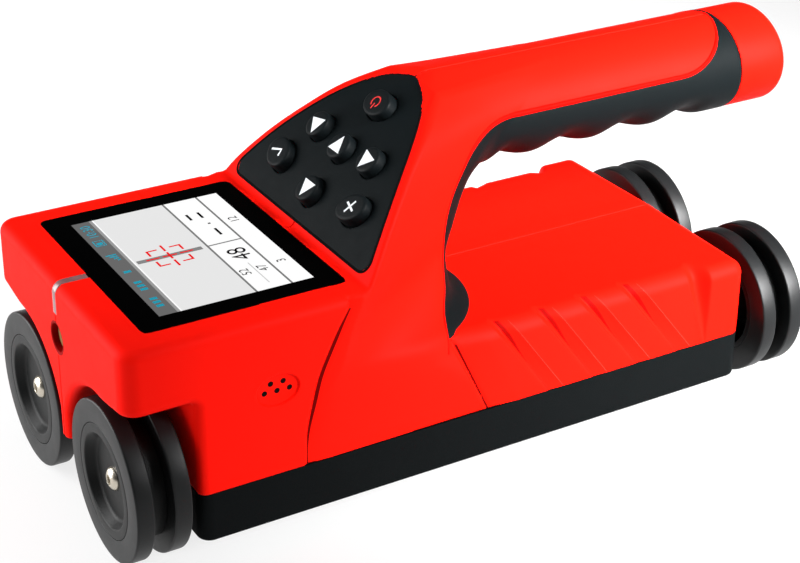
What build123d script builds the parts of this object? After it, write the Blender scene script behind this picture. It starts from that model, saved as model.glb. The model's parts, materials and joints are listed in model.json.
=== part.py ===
"""Rebar scanner: a hand-rolled cover meter on four twin-disc wheels.

Millimetres, +Z up. The files' origin is the bottom centre of the whole object:
the ground under the wheels, half way along the length. The display head points to
-X, the battery end of the handle to +X. The scanner rolls along Y.
"""
import os
from math import asin, cos, degrees, hypot, radians, sin, sqrt

from build123d import *

os.makedirs("parts", exist_ok=True)

# Overall stations along X
front_x = -133.3
cap_end_x = 135.9
body_front_x = -110.8
body_rear_x = 96.6
head_rear_x = -58.0

# Heights
tray_z = 8.06
split_z = 25.25
deck_z = 53.5
roof_z = 57.5
head_top_z = 79.3
tower_top_z = 124.2

# Body widths, walls and edge radii
half_width = 52.86
wall = 2.4
corner_r = 4.5
tray_edge_r = 1.5
head_corner_r = 6.0
edge_r = 3.0
seat_gap = 0.05
loose_gap = 0.3

# Wheels and axles
wheel_r = 26.0
wheel_y = 31.23
front_wheel_x = -132.9
rear_wheel_x = 121.0
tyre_w = 5.8
tyre_gap = 6.2
tyre_bore_r = 18.5
rib_r = 20.0
tyre_edge = 0.5
dish_r = 15.4
dish_floor_r = 13.2
dish_depth = 3.2
hub_web = 3.0
hub_boss_r = 9.0
hub_rim = 2.0
axle_r = 4.0
axle_end_depth = 7.0
running_gap = 0.03
arch_r = 29.0
post_half = 3.6
post_top_z = 46.0

# Bearings 8 x 16 x 5 and their seats in the tray
bearing_r = 8.0
bearing_w = 5.0
bearing_inset = 3.8
block_half = 10.5
block_lip = 1.2
spacer_r = 5.6
axle_hole_r = 6.6

# M4 button head wheel screws
wheel_screw_r = 2.0
wheel_head_r = 3.8
wheel_head_h = 2.2
wheel_screw_l = 12.0
hex_r = 1.45
hex_depth = 1.3

# Wheel encoder
encoder_x = 20.0
encoder_r = 12.0
encoder_t = 1.0
encoder_hub_r = 6.5
encoder_hub_t = 5.0
encoder_slots = 24
encoder_slot_w = 0.9
encoder_slot_l = 3.0
sensor_w = 12.0
sensor_d = 6.0
sensor_slot = 3.6
sensor_bite = 5.0

# Circuit board on tray posts
board_z = 44.0
board_t = 1.6
board_front_x = -97.0
board_rear_x = 85.0
board_half = 41.0
board_post_r = 3.5
board_post_in = 6.0
board_post_y = 12.0
chip_t = 2.0
chip_w = 14.0
chip_pitch = 24.0
m3_r = 1.45
m3_head_r = 2.7
m3_head_h = 2.0
m3_l = 10.0

# Coil pack on the tray floor
former_l = 146.0
former_w = 46.0
former_t = 1.5
former_h = 9.0
core_l = 126.0
core_w = 30.0
core_wall = 2.0
coil_t = 6.0
pickup_r = 10.0
pickup_hole_r = 5.0
pickup_h = 6.0
pickup_x = 38.0
ferrite_h = 8.0

# Display
lens_front_x = -122.15
lens_rear_x = -54.9
lens_half = 42.96
lens_r = 3.0
lens_t = 1.6
active_l = 51.1
active_w = 70.4
active_x = -88.25
window_gap = 1.5
lcd_l = 63.9
lcd_w = 76.9
lcd_t = 3.2
bracket_t = 1.6
bracket_rim = 2.0

# Indicator light guide and its lamp
guide_w = 3.0
guide_drop = 10.3
lamp_r = 1.5
lamp_l = 5.0

# Laser pointer
laser_z = 60.5
laser_hole_r = 4.65
laser_r = 4.2
laser_l = 24.0
laser_set = 2.0
laser_boss_t = 2.2
laser_boss_l = 16.0

# Speaker on the left wall
speaker_x = -84.3
speaker_z = 54.7
speaker_r = 9.0
speaker_t = 4.5
grille_l = 15.0
grille_h = 11.0
grille_depth = 0.9
grille_hole_r = 0.9
grille_pitch = 3.4
grille_row = 3.6
grille_slant = 1.1

# Keypad: a gently arched mat on the front slope
slope_front_x = -51.4
slope_front_z = 80.7
slope_top_x = -6.2
slope_top_z = 122.7
mat_sag = 3.0
mat_t = 2.0
mat_rim = 0.6
mat_ledge = 1.8
mat_front_half = 47.5
mat_front_in = 0.4
mat_top_half = 8.0
mat_top_in = 3.0
mat_corner_r = 4.0
mat_side = ((-10.0, 38.3), (10.0, 26.6), (21.0, 17.6))
mat_side_r = 30.0
key_gap = 0.3
key_proud = 3.5
key_round = 0.8
key_r = 4.9
oval_l = 13.0
oval_w = 10.0
oval_tilt = 28.0
stem_in = 1.2
stem_n = -4.2
dome_r = 3.0
dome_t = 0.5
key_board_n = -6.0
key_board_t = 1.6
key_board_in = 9.0
key_post_r = 2.4
key_posts = ((-24.0, 12.0), (8.0, 10.5))

# Handle, oval in section
handle_y = 20.6
handle_z = 17.4
handle_axis_z = 106.9
handle_front_x = 0.0
ring_x = 114.8
grip_t = 2.2
grip_under = 3.4
handle_wall = 2.2
finger_x = 19.2
finger_pitch = 25.2
finger_count = 4
finger_r = 19.0
finger_depth = 2.4

# Where the rubber meets the red shell, seen from the side
grip_line = (
    (-22.0, 50.0), (-15.9, 60.1), (-12.3, 67.0), (-11.9, 79.0), (-6.6, 94.6), (2.4, 106.4), (18.0, 111.3))
grip_line_rear = 90.5
grip_arc_mid = (104.0, 116.7)
grip_tip = (113.0, 126.0)

# Battery cap and cells
cap_gap = 0.2
cap_wall = 2.4
cap_round = 3.5
spigot_l = 6.0
spigot_wall = 1.8
seal_w = 1.6
seal_t = 1.0
contact_t = 0.8
contact_pad_r = 4.0
cell_r = 7.1
cell_l = 50.0
cell_y = 7.5
cell_cap_r = 2.7
cell_cap_t = 0.8
cradle_wall_t = 1.6

# Screws that close the case
base_screw_x = (-62.0, 58.0)
base_screw_in = 6.2
base_boss_r = 4.4
base_head_r = 2.9
base_head_h = 2.4
base_sink = 6.0
base_screw_l = 22.0
base_post_h = 18.0
shell_screws = ((-101.0, 65.0), (-20.0, 68.0), (90.6, 43.0))
shell_boss_r = 4.6
shell_screw_l = 14.0
shell_head_depth = 12.0

# Side features of the case
rib_top_x = (-8.4, 8.9, 26.0, 43.1)
rib_lean = 22.6
rib_top_z = 56.0
rib_bottom_z = 26.5
rib_w = 5.2
rib_tilt = 14.0
shoulder_end_x = 81.0
shoulder_y = 8.5
shoulder_drop = 7.0
groove_w = 1.3
groove_d = 1.0
head_groove = ((-75.2, 25.8), (-72.9, 47.0), (-67.6, 62.0), (-59.5, 77.0))
leg_groove = ((-10.8, 28.5), (-23.2, 56.0))

# Tower sections: height, front x, front half width, rear x, rear half width, rear corner radius
tower_sections = (
    (50.0, -84.0, 50.2, 5.5, 49.6, 37.0),
    (58.0, -72.0, 51.0, -1.4, 40.0, 26.0),
    (68.0, -70.0, 51.2, -2.8, 26.5, 13.0),
    (80.0, -68.0, 58.5, 0.2, 22.8, 9.0),
    (92.0, -57.0, 52.4, 5.2, 20.8, 8.5),
    (104.0, -44.0, 40.2, 14.2, 20.2, 8.5),
    (114.0, -34.0, 30.0, 29.2, 16.6, 8.0),
    (tower_top_z, -22.0, 15.0, 44.2, 7.0, 4.0),
)
tower_front_r = 4.0
tower_slope = 1.35

# Values worked out from the sizes above
wheel_w = 2 * tyre_w + tyre_gap
floor_z = tray_z + wall
base_screw_y = half_width - base_screw_in
board_post_x = (board_front_x + board_post_in, board_rear_x - board_post_in)
far = 300.0
slope_angle = degrees(asin((slope_top_z - slope_front_z)
                           / hypot(slope_top_x - slope_front_x, slope_top_z - slope_front_z)))
slope_half = hypot(slope_top_x - slope_front_x, slope_top_z - slope_front_z) / 2
mat_r = (slope_half**2 + mat_sag**2) / (2 * mat_sag)
slope_mid = ((slope_front_x + slope_top_x) / 2, 0, (slope_front_z + slope_top_z) / 2)
slope_dir = (cos(radians(slope_angle)), 0, sin(radians(slope_angle)))
slope_normal = (-sin(radians(slope_angle)), 0, cos(radians(slope_angle)))
slope_side = Plane(origin=slope_mid, x_dir=slope_dir, z_dir=(0, -1, 0))
slope_top = Plane(origin=slope_mid, x_dir=slope_dir, z_dir=slope_normal)
core_y = handle_y - grip_t
core_z = handle_z - (grip_t + grip_under) / 2
core_axis_z = handle_axis_z + (grip_under - grip_t) / 2
bore_y = core_y - handle_wall
bore_z = core_z - handle_wall
cell_rear_x = ring_x - spigot_l - 2 * cap_gap
cell_front_x = cell_rear_x - cell_l
front_inner_x = front_wheel_x + wheel_w
rear_inner_x = rear_wheel_x - wheel_w
front_bearing_x = body_front_x + bearing_inset
rear_bearing_x = body_rear_x - bearing_inset
centre_x = (front_x + cap_end_x) / 2


def x_plane(x):
    """Sketch plane across the length: sketch x is global Y, sketch y is global Z."""
    return Plane(origin=(x, 0, 0), x_dir=(0, 1, 0), z_dir=(1, 0, 0))


def finish(part, label):
    """Name one finished piece and write its file, half way along the length at X = 0."""
    piece = part.moved(Location((-centre_x, 0, 0)))
    piece.label = label
    export_step(piece, "parts/" + label + ".step")


def arch_points(grow):
    """Corner points of a wheel arch, seen along X, its curve moved out by grow."""
    radius = arch_r + grow
    reach = wheel_y - max(post_half - grow, 0)
    rise = sqrt(radius**2 - reach**2)
    lean = radians(45)
    start = (wheel_y - reach, wheel_r + rise)
    middle = (wheel_y - radius * cos(lean), wheel_r + radius * sin(lean))
    return start, middle, (wheel_y, wheel_r + radius)


def wheel_wells(grow, rear_x):
    """The two spaces for the front wheels, as one cutting form."""
    start, middle, top = arch_points(grow)
    with BuildPart() as wells:
        with BuildSketch(x_plane(front_x - wheel_r)):
            with BuildLine():
                Polyline((start[0], -wheel_r), start)
                ThreePointArc(start, middle, top)
                Polyline(
                    top, (2 * half_width, roof_z + grow), (2 * half_width, -wheel_r), (start[0], -wheel_r))
            make_face()
        extrude(amount=rear_x - front_x + wheel_r)
        mirror(about=Plane.XZ)
    return wells.part


def tower_form(inset):
    """The leg between body and handle, lofted through rounded sections."""
    with BuildPart() as tower:
        for z, front, front_half, rear, rear_half, rear_r in tower_sections:
            level = z - (inset if z >= tower_top_z else 0)
            x0 = front + tower_slope * inset
            x1 = rear - inset
            w0 = max(front_half - tower_slope * inset, 1.5 * tower_front_r)
            w1 = max(rear_half - inset, tower_front_r)
            r1 = min(max(rear_r - inset, tower_front_r - 1), w1 - 1)
            with BuildSketch(Plane.XY.offset(level)):
                with BuildLine():
                    FilletPolyline(
                        (x0, -w0), (x1, -w1), (x1, w1), (x0, w0),
                        radius=(tower_front_r, r1, r1, tower_front_r), close=True)
                make_face()
        loft()
        Box(far, 2 * (half_width - inset - 2 * loose_gap), far, mode=Mode.INTERSECT)
    return tower.part


def handle_form(semi_y, semi_z, axis_z, rear_x):
    """An oval bar along X."""
    with BuildPart() as bar:
        with BuildSketch(x_plane(handle_front_x)):
            with Locations((0, axis_z)):
                Ellipse(semi_y, semi_z)
        extrude(amount=rear_x - handle_front_x)
    return bar.part


def above_slope(rise):
    """All the space over the arched front slope, the arch lifted by rise."""
    with BuildPart() as over:
        with BuildSketch(slope_side.offset(half_width + wall)):
            with Locations((-slope_half, -slope_half)):
                Rectangle(3 * slope_half, 3 * slope_half, align=(Align.MIN, Align.MIN))
            with Locations((0, mat_sag - mat_r)):
                Circle(mat_r + rise, mode=Mode.SUBTRACT)
        extrude(amount=-2 * (half_width + wall))
        with Locations((slope_front_x, 0, head_top_z + min(rise + mat_t, 0))):
            Box(slope_half, 2 * half_width, 2 * slope_half, align=(Align.MAX, Align.CENTER, Align.MIN))
    return over.part


def mat_outline(inset, level):
    """Plan of the keypad mat, moved in by inset, as a face over the slope's chord."""
    edge = [(-slope_half + mat_front_in + inset, mat_front_half - inset, mat_corner_r)]
    edge += [(u, half - inset, mat_side_r) for u, half in mat_side]
    edge += [(slope_half - mat_top_in, mat_top_half - inset / 2, mat_corner_r)]
    points = [(u, -half) for u, half, _ in edge] + [(slope_half - inset, 0)] + [(u, half) for u, half, _ in edge[::-1]]
    rounds = [r for _, _, r in edge]
    with BuildSketch(slope_top.offset(level)) as outline:
        with BuildLine():
            FilletPolyline(*points, radius=(*rounds, mat_corner_r, *rounds[::-1]), close=True)
        make_face()
    return outline.sketch


def body_form(inset, floor):
    """Lower body and head as one solid, every face moved in by inset."""
    side_y = half_width - inset
    top_z = deck_z - inset
    with BuildPart() as body:
        with BuildSketch(Plane.XY.offset(floor)):
            with Locations(((body_front_x + body_rear_x) / 2, 0)):
                RectangleRounded(body_rear_x - body_front_x - 2 * inset, 2 * side_y, corner_r)
        extrude(amount=top_z - floor)
        fillet(body.faces().sort_by(Axis.Z)[-1].edges(), edge_r)
        with BuildSketch(Plane.YZ):
            with BuildLine():
                Polyline(
                    (side_y - shoulder_y, top_z), (side_y, top_z - shoulder_drop),
                    (half_width + wall, top_z - shoulder_drop), (half_width + wall, deck_z + wall),
                    (side_y - shoulder_y, deck_z + wall), close=True)
            make_face()
            mirror(about=Plane.YZ)
        extrude(amount=shoulder_end_x + inset, mode=Mode.SUBTRACT)
    with BuildPart() as head:
        with BuildSketch(Plane.XY.offset(floor)):
            with Locations((front_x + inset, 0)):
                Rectangle(head_rear_x - front_x - 2 * inset, 2 * side_y, align=(Align.MIN, Align.CENTER))
        extrude(amount=head_top_z - inset - floor)
        fillet(head.edges().filter_by(Axis.Z).group_by(Axis.X)[0], head_corner_r - inset)
        fillet(head.faces().sort_by(Axis.Z)[-1].edges().sort_by(Axis.X)[:-1], edge_r)
    with BuildPart() as both:
        add(body.part)
        add(head.part)
    return both.part


def slope_height(u):
    """Height of the mat's top face over the slope's chord, u along the slope."""
    return mat_sag - mat_r + sqrt(mat_r**2 - u**2)


def key_holes(grow):
    """Every key's outline as one set of prisms through mat and ledge."""
    with BuildPart() as holes:
        with BuildSketch(slope_top.offset(-slope_half)):
            for name, u, v, length, width, tilt in keys:
                with Locations(Location((u, v), tilt)):
                    Ellipse(width / 2 + grow, length / 2 + grow)
        extrude(amount=2 * slope_half)
    return holes.part


def mat_space(grow):
    """The pocket that the keypad mat fills, its plan grown by grow."""
    with BuildPart() as space:
        add(mat_outline(-grow, -slope_half))
        extrude(amount=2 * slope_half, dir=slope_normal)
        add(above_slope(-mat_t), mode=Mode.INTERSECT)
    return space.part


def oval_bar(semi_y, semi_z, x0, x1):
    """A straight oval piece on the axis of the battery bore."""
    with BuildPart() as bar:
        with BuildSketch(x_plane(x0)):
            with Locations((0, core_axis_z)):
                Ellipse(semi_y, semi_z)
        extrude(amount=x1 - x0)
    return bar.part


def axle_holes():
    """Holes in the end walls of the case round both axles."""
    with BuildPart() as holes:
        for x in (body_front_x, body_rear_x):
            with BuildSketch(x_plane(x - wall - loose_gap)):
                with Locations((-wheel_y, wheel_r), (wheel_y, wheel_r)):
                    Circle(axle_hole_r)
            extrude(amount=2 * (wall + loose_gap))
    return holes.part


def guide_form():
    """The indicator strip over the front edge of the head."""
    start_x = lens_front_x - loose_gap
    with BuildPart() as strip:
        with BuildSketch(Plane.XZ.offset(guide_w / 2)):
            with BuildLine():
                FilletPolyline(
                    (start_x, head_top_z), (front_x, head_top_z), (front_x, head_top_z - guide_drop),
                    (front_x + wall, head_top_z - guide_drop), (front_x + wall, head_top_z - wall),
                    (start_x, head_top_z - wall),
                    radius=(0, edge_r, 0, 0, edge_r - wall, 0), close=True)
            make_face()
        extrude(amount=-guide_w)
    return strip.part


# Keys: name, place along the slope, place across, length across, width along, turn
keys = (
    ("key_up", -19.7, 0.0, 2 * key_r, 2 * key_r, 0.0),
    ("key_down", -2.8, 0.0, 2 * key_r, 2 * key_r, 0.0),
    ("key_left", -1.0, -17.0, 2 * key_r, 2 * key_r, 0.0),
    ("key_right", -1.0, 17.0, 2 * key_r, 2 * key_r, 0.0),
    ("key_esc", -16.1, -25.0, oval_l, oval_w, oval_tilt),
    ("key_ok", -16.1, 25.0, oval_l, oval_w, -oval_tilt),
    ("key_power", 15.8, 0.0, oval_l, oval_w, 0.0),
)

# Case: the outer form, the space inside it and the skin that the rubber takes
outer_tower = tower_form(0)
outer_bar = handle_form(handle_y, handle_z, handle_axis_z, ring_x)

# Slanted ribs and the two styling grooves on each side
with BuildPart() as side_cuts:
    slant = degrees(asin(rib_lean / hypot(rib_lean, rib_top_z - rib_bottom_z)))
    for side in (-1, 1):
        for top_x in rib_top_x:
            middle = (top_x + rib_lean / 2, side * half_width, (rib_top_z + rib_bottom_z) / 2)
            with Locations(Location(middle, (0, -slant, side * rib_tilt))):
                Box(rib_w, groove_d, rib_top_z - rib_bottom_z)
        with BuildSketch(Plane.XZ.offset(-side * half_width + groove_d)):
            with BuildLine():
                Spline(*head_groove)
            trace(line_width=groove_w)
            with BuildLine():
                Line(*leg_groove)
            trace(line_width=groove_w)
        extrude(amount=-2 * groove_d)

with BuildPart() as case:
    add(body_form(0, split_z))
    add(outer_tower)
    add(outer_bar)
    add(above_slope(mat_rim), mode=Mode.SUBTRACT)
    add(wheel_wells(0, body_front_x), mode=Mode.SUBTRACT)
    add(side_cuts.part, mode=Mode.SUBTRACT)

with BuildPart() as cavity:
    add(body_form(wall, split_z - wall))
    add(tower_form(grip_t + wall))
    with Locations((slope_front_x - wall, 0, head_top_z - wall)):
        Box(slope_front_x - wall - active_x, 2 * lens_half, head_top_z - roof_z,
            align=(Align.MAX, Align.CENTER, Align.MAX))
    add(handle_form(bore_y, bore_z, core_axis_z, ring_x + wall))
    add(above_slope(-mat_t - mat_ledge), mode=Mode.SUBTRACT)
    add(wheel_wells(wall, body_front_x + wall), mode=Mode.SUBTRACT)
    with Locations((body_front_x + wall, 0, 0)):
        Box(far, far, post_top_z, align=(Align.MAX, Align.CENTER, Align.MIN), mode=Mode.SUBTRACT)

with BuildPart() as skin:
    add(outer_tower)
    add(outer_bar)
    with BuildSketch(Plane.XZ.offset(half_width + wall)):
        with BuildLine():
            Spline(*grip_line)
            Line(grip_line[-1], (grip_line_rear, grip_line[-1][1]))
            ThreePointArc((grip_line_rear, grip_line[-1][1]), grip_arc_mid, grip_tip)
            Polyline(grip_tip, (ring_x, grip_tip[1]), (ring_x, grip_line[0][1]), grip_line[0])
        make_face()
    extrude(amount=-2 * (half_width + wall), mode=Mode.INTERSECT)
    add(tower_form(grip_t), mode=Mode.SUBTRACT)
    add(handle_form(core_y, core_z, core_axis_z, ring_x), mode=Mode.SUBTRACT)
    Box(far, far, 2 * deck_z, mode=Mode.SUBTRACT)

# Screw posts, screw bosses, laser boss and key board posts, all kept within the case
with BuildPart() as bosses:
    for x in base_screw_x:
        with Locations((x, -base_screw_y, split_z), (x, base_screw_y, split_z)):
            Cylinder(base_boss_r, base_post_h, align=(Align.CENTER, Align.CENTER, Align.MIN))
    with BuildSketch(Plane.XZ):
        with Locations(*shell_screws):
            Circle(shell_boss_r)
    extrude(amount=half_width)
    with BuildSketch(x_plane(front_x)):
        with Locations((0, laser_z)):
            Circle(laser_hole_r + laser_boss_t)
    extrude(amount=laser_boss_l)
    with BuildSketch(slope_top.offset(key_board_n)):
        for u, v in key_posts:
            with Locations((u, -v), (u, v)):
                Circle(key_post_r)
    extrude(amount=-key_board_n)
    Box(far, far, far, align=(Align.CENTER, Align.MIN, Align.CENTER), mode=Mode.SUBTRACT)
    add(case.part, mode=Mode.INTERSECT)

# Openings: display, keypad, light guide, laser, axles and screw pilots
with BuildPart() as openings:
    with BuildSketch(Plane.XY.offset(head_top_z)):
        with Locations(((lens_front_x + lens_rear_x) / 2, 0)):
            RectangleRounded(lens_rear_x - lens_front_x + 2 * seat_gap, 2 * (lens_half + seat_gap), lens_r)
    extrude(amount=-lens_t)
    with Locations((active_x, 0, head_top_z)):
        Box(active_l + 2 * window_gap, active_w + 2 * window_gap, 3 * wall)
    add(mat_space(seat_gap))
    add(key_holes(key_gap))
    add(guide_form())
    with BuildSketch(x_plane(front_x - laser_set)):
        with Locations((0, laser_z)):
            Circle(laser_hole_r)
    extrude(amount=laser_boss_l + laser_set)
    add(axle_holes())
    for x in base_screw_x:
        with Locations((x, -base_screw_y, split_z), (x, base_screw_y, split_z)):
            Cylinder(m3_r + seat_gap, 2 * (base_post_h - wall))

# Left half of the case, which the right half mirrors
with BuildPart() as half_shell:
    add(case.part)
    Box(far, far, far, align=(Align.CENTER, Align.MIN, Align.CENTER), mode=Mode.SUBTRACT)
    add(cavity.part, mode=Mode.SUBTRACT)
    add(bosses.part)
    add(skin.part, mode=Mode.SUBTRACT)
    add(openings.part, mode=Mode.SUBTRACT)

with BuildPart() as shell_left:
    add(half_shell.part)
    # speaker grille
    with BuildSketch(Plane.XZ.offset(half_width)):
        with Locations((speaker_x, speaker_z)):
            Ellipse(grille_l / 2, grille_h / 2)
    extrude(amount=-grille_depth, mode=Mode.SUBTRACT)
    with BuildSketch(Plane.XZ.offset(half_width)):
        for row, count in ((-0.5, 3), (0.5, 2)):
            with Locations((speaker_x + row * grille_slant, speaker_z + row * grille_row)):
                with GridLocations(grille_pitch, 1, count, 1):
                    Circle(grille_hole_r)
    extrude(amount=-2 * wall, mode=Mode.SUBTRACT)
    # pilot holes for the screws that join the halves
    with BuildSketch(Plane.XZ):
        with Locations(*shell_screws):
            Circle(m3_r + seat_gap)
    extrude(amount=shell_screw_l, mode=Mode.SUBTRACT)
finish(shell_left.part, "shell_left")

with BuildPart() as shell_right:
    add(mirror(half_shell.part, about=Plane.XZ, mode=Mode.PRIVATE))
    with BuildSketch(Plane.XZ):
        with Locations(*shell_screws):
            Circle(m3_r + seat_gap)
    extrude(amount=-half_width, mode=Mode.SUBTRACT)
    with BuildSketch(Plane.XZ.offset(-shell_head_depth)):
        with Locations(*shell_screws):
            Circle(m3_head_r + loose_gap)
    extrude(amount=-half_width, mode=Mode.SUBTRACT)
finish(shell_right.part, "shell_right")

# Rubber grip with its finger hollows
with BuildPart() as grip_sleeve:
    add(skin.part)
    finger_z = handle_axis_z - handle_z + finger_depth - finger_r
    for i in range(finger_count):
        with Locations((finger_x + i * finger_pitch, 0, finger_z)):
            Cylinder(finger_r, 2 * half_width, rotation=(90, 0, 0), mode=Mode.SUBTRACT)
finish(grip_sleeve.part, "grip_sleeve")

# Black tray that closes the case from below and carries the bearings
with BuildPart() as base_tray:
    with BuildSketch(Plane.XY.offset(tray_z)):
        with Locations(((body_front_x + body_rear_x) / 2, 0)):
            RectangleRounded(body_rear_x - body_front_x, 2 * half_width, corner_r)
    extrude(amount=split_z - tray_z)
    fillet(base_tray.faces().sort_by(Axis.Z)[0].edges(), tray_edge_r)
    with BuildSketch(Plane.XY.offset(floor_z)):
        with Locations(((body_front_x + body_rear_x) / 2, 0)):
            RectangleRounded(body_rear_x - body_front_x - 2 * wall, 2 * (half_width - wall), corner_r - wall)
    extrude(amount=split_z - floor_z, mode=Mode.SUBTRACT)
    for x, reach in ((front_bearing_x - block_lip, 1), (rear_bearing_x + block_lip, -1)):
        with BuildSketch(x_plane(x)):
            with Locations((-wheel_y, floor_z), (wheel_y, floor_z)):
                Rectangle(2 * block_half, wheel_r + block_half - floor_z, align=(Align.CENTER, Align.MIN))
        extrude(amount=reach * (bearing_w + block_lip))
    for x in board_post_x:
        with Locations((x, -board_post_y, floor_z), (x, board_post_y, floor_z)):
            Cylinder(board_post_r, board_z - floor_z, align=(Align.CENTER, Align.CENTER, Align.MIN))
        with Locations((x, -board_post_y, board_z), (x, board_post_y, board_z)):
            Cylinder(m3_r + seat_gap, 2 * m3_l, mode=Mode.SUBTRACT)
    for x in base_screw_x:
        with Locations((x, -base_screw_y, floor_z), (x, base_screw_y, floor_z)):
            Cylinder(base_boss_r, split_z - floor_z, align=(Align.CENTER, Align.CENTER, Align.MIN))
        with Locations((x, -base_screw_y, tray_z), (x, base_screw_y, tray_z)):
            Cylinder(base_head_r + loose_gap, 2 * base_sink, mode=Mode.SUBTRACT)
            Cylinder(m3_r + seat_gap, 2 * (split_z - tray_z), mode=Mode.SUBTRACT)
    add(axle_holes(), mode=Mode.SUBTRACT)
    for x, reach in ((front_bearing_x, 1), (rear_bearing_x, -1)):
        with BuildSketch(x_plane(x)):
            with Locations((-wheel_y, wheel_r), (wheel_y, wheel_r)):
                Circle(bearing_r + seat_gap)
        extrude(amount=reach * 2 * bearing_w, mode=Mode.SUBTRACT)
        with BuildSketch(x_plane(x)):
            with Locations((-wheel_y, wheel_r), (wheel_y, wheel_r)):
                Circle(axle_hole_r)
        extrude(amount=-reach * bearing_inset, mode=Mode.SUBTRACT)
finish(base_tray.part, "base_tray")

with BuildPart() as bearings:
    for x, reach in ((front_bearing_x, 1), (rear_bearing_x, -1)):
        with BuildSketch(x_plane(x)):
            with Locations((-wheel_y, wheel_r), (wheel_y, wheel_r)):
                Circle(bearing_r)
                Circle(axle_r + running_gap, mode=Mode.SUBTRACT)
        extrude(amount=reach * bearing_w)
finish(bearings.part, "bearings")


def hub_profile(outer_x, reach):
    """Half section of a wheel hub: station from the outer face inwards, then radius."""
    stations = (
        (dish_depth, wheel_screw_r + loose_gap), (dish_depth, dish_floor_r), (0, dish_r), (0, tyre_bore_r),
        (tyre_w, tyre_bore_r), (tyre_w, rib_r), (tyre_w + tyre_gap, rib_r), (tyre_w + tyre_gap, tyre_bore_r),
        (wheel_w, tyre_bore_r), (wheel_w, tyre_bore_r - hub_rim),
        (dish_depth + hub_web, tyre_bore_r - hub_rim), (dish_depth + hub_web, hub_boss_r),
        (wheel_w, hub_boss_r), (wheel_w, axle_r + seat_gap),
        (axle_end_depth, axle_r + seat_gap), (axle_end_depth, wheel_screw_r + loose_gap))
    return [(outer_x + reach * station, radius) for station, radius in stations]


def tyre_profile(outer_x, reach, first):
    """Half section of one tyre disc that starts at station first."""
    stations = (
        (first, tyre_bore_r + seat_gap), (first, wheel_r - tyre_edge), (first + tyre_edge, wheel_r),
        (first + tyre_w - tyre_edge, wheel_r), (first + tyre_w, wheel_r - tyre_edge),
        (first + tyre_w, tyre_bore_r + seat_gap))
    return [(outer_x + reach * station, radius) for station, radius in stations]


def turned(profile, y):
    """A solid turned about the axle line at y from a half section."""
    with BuildPart() as solid:
        with BuildSketch(Plane(origin=(0, y, wheel_r), x_dir=(1, 0, 0), z_dir=(0, -1, 0))):
            with BuildLine():
                Polyline(*profile, close=True)
            make_face()
        revolve(axis=Axis((0, y, wheel_r), (1, 0, 0)))
    return solid.part


# Wheel sets: one axle on each side with a wheel at both ends
wheel_ends = (("front", front_wheel_x, 1), ("rear", rear_wheel_x, -1))
for side, y in (("left", -wheel_y), ("right", wheel_y)):
    for end, outer_x, reach in wheel_ends:
        name = end + "_" + side
        finish(turned(hub_profile(outer_x, reach), y), "hub_" + name)
        finish(turned(tyre_profile(outer_x, reach, 0), y), "tyre_" + name + "_outer")
        finish(turned(tyre_profile(outer_x, reach, tyre_w + tyre_gap), y), "tyre_" + name + "_inner")

    with BuildPart() as axle:
        with BuildSketch(x_plane(front_wheel_x + axle_end_depth)):
            with Locations((y, wheel_r)):
                Circle(axle_r)
        extrude(amount=rear_wheel_x - front_wheel_x - 2 * axle_end_depth)
        for end, outer_x, reach in wheel_ends:
            with BuildSketch(x_plane(outer_x + reach * axle_end_depth)):
                with Locations((y, wheel_r)):
                    Circle(wheel_screw_r + seat_gap)
            extrude(amount=reach * wheel_screw_l, mode=Mode.SUBTRACT)
    finish(axle.part, "axle_" + side)

    with BuildPart() as spacers:
        for inner_x, stop_x in ((front_inner_x, front_bearing_x), (rear_inner_x, rear_bearing_x)):
            length = stop_x - inner_x
            with BuildSketch(x_plane(inner_x)):
                with Locations((y, wheel_r)):
                    Circle(spacer_r)
                    Circle(axle_r + seat_gap, mode=Mode.SUBTRACT)
            extrude(amount=length - cap_gap if length > 0 else length + cap_gap)
    finish(spacers.part, "spacers_" + side)

    with BuildPart() as wheel_screws:
        for end, outer_x, reach in wheel_ends:
            seat_x = outer_x + reach * dish_depth
            with BuildSketch(x_plane(seat_x)):
                with Locations((y, wheel_r)):
                    Circle(wheel_head_r)
            extrude(amount=-reach * wheel_head_h)
            with BuildSketch(x_plane(seat_x)):
                with Locations((y, wheel_r)):
                    Circle(wheel_screw_r)
            extrude(amount=reach * wheel_screw_l)
            with BuildSketch(x_plane(seat_x - reach * wheel_head_h)):
                with Locations((y, wheel_r)):
                    RegularPolygon(hex_r, 6)
            extrude(amount=reach * hex_depth, mode=Mode.SUBTRACT)
        tops = wheel_screws.edges().filter_by(GeomType.CIRCLE).group_by(SortBy.RADIUS)[-1].sort_by(Axis.X)
        fillet([tops[0], tops[-1]], wheel_head_h / 2)
    finish(wheel_screws.part, "wheel_screws_" + side)

# Slotted encoder disc on the left axle and its fork sensor under the board
with BuildPart() as encoder_disc:
    with BuildSketch(x_plane(encoder_x)):
        with Locations((-wheel_y, wheel_r)):
            Circle(encoder_r)
            Circle(axle_r + seat_gap, mode=Mode.SUBTRACT)
            with PolarLocations(encoder_r - encoder_slot_l, encoder_slots):
                Rectangle(encoder_slot_l, encoder_slot_w, mode=Mode.SUBTRACT)
    extrude(amount=encoder_t)
    with BuildSketch(x_plane(encoder_x + encoder_t)):
        with Locations((-wheel_y, wheel_r)):
            Circle(encoder_hub_r)
            Circle(axle_r + seat_gap, mode=Mode.SUBTRACT)
    extrude(amount=encoder_hub_t)
finish(encoder_disc.part, "encoder_disc")

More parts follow.
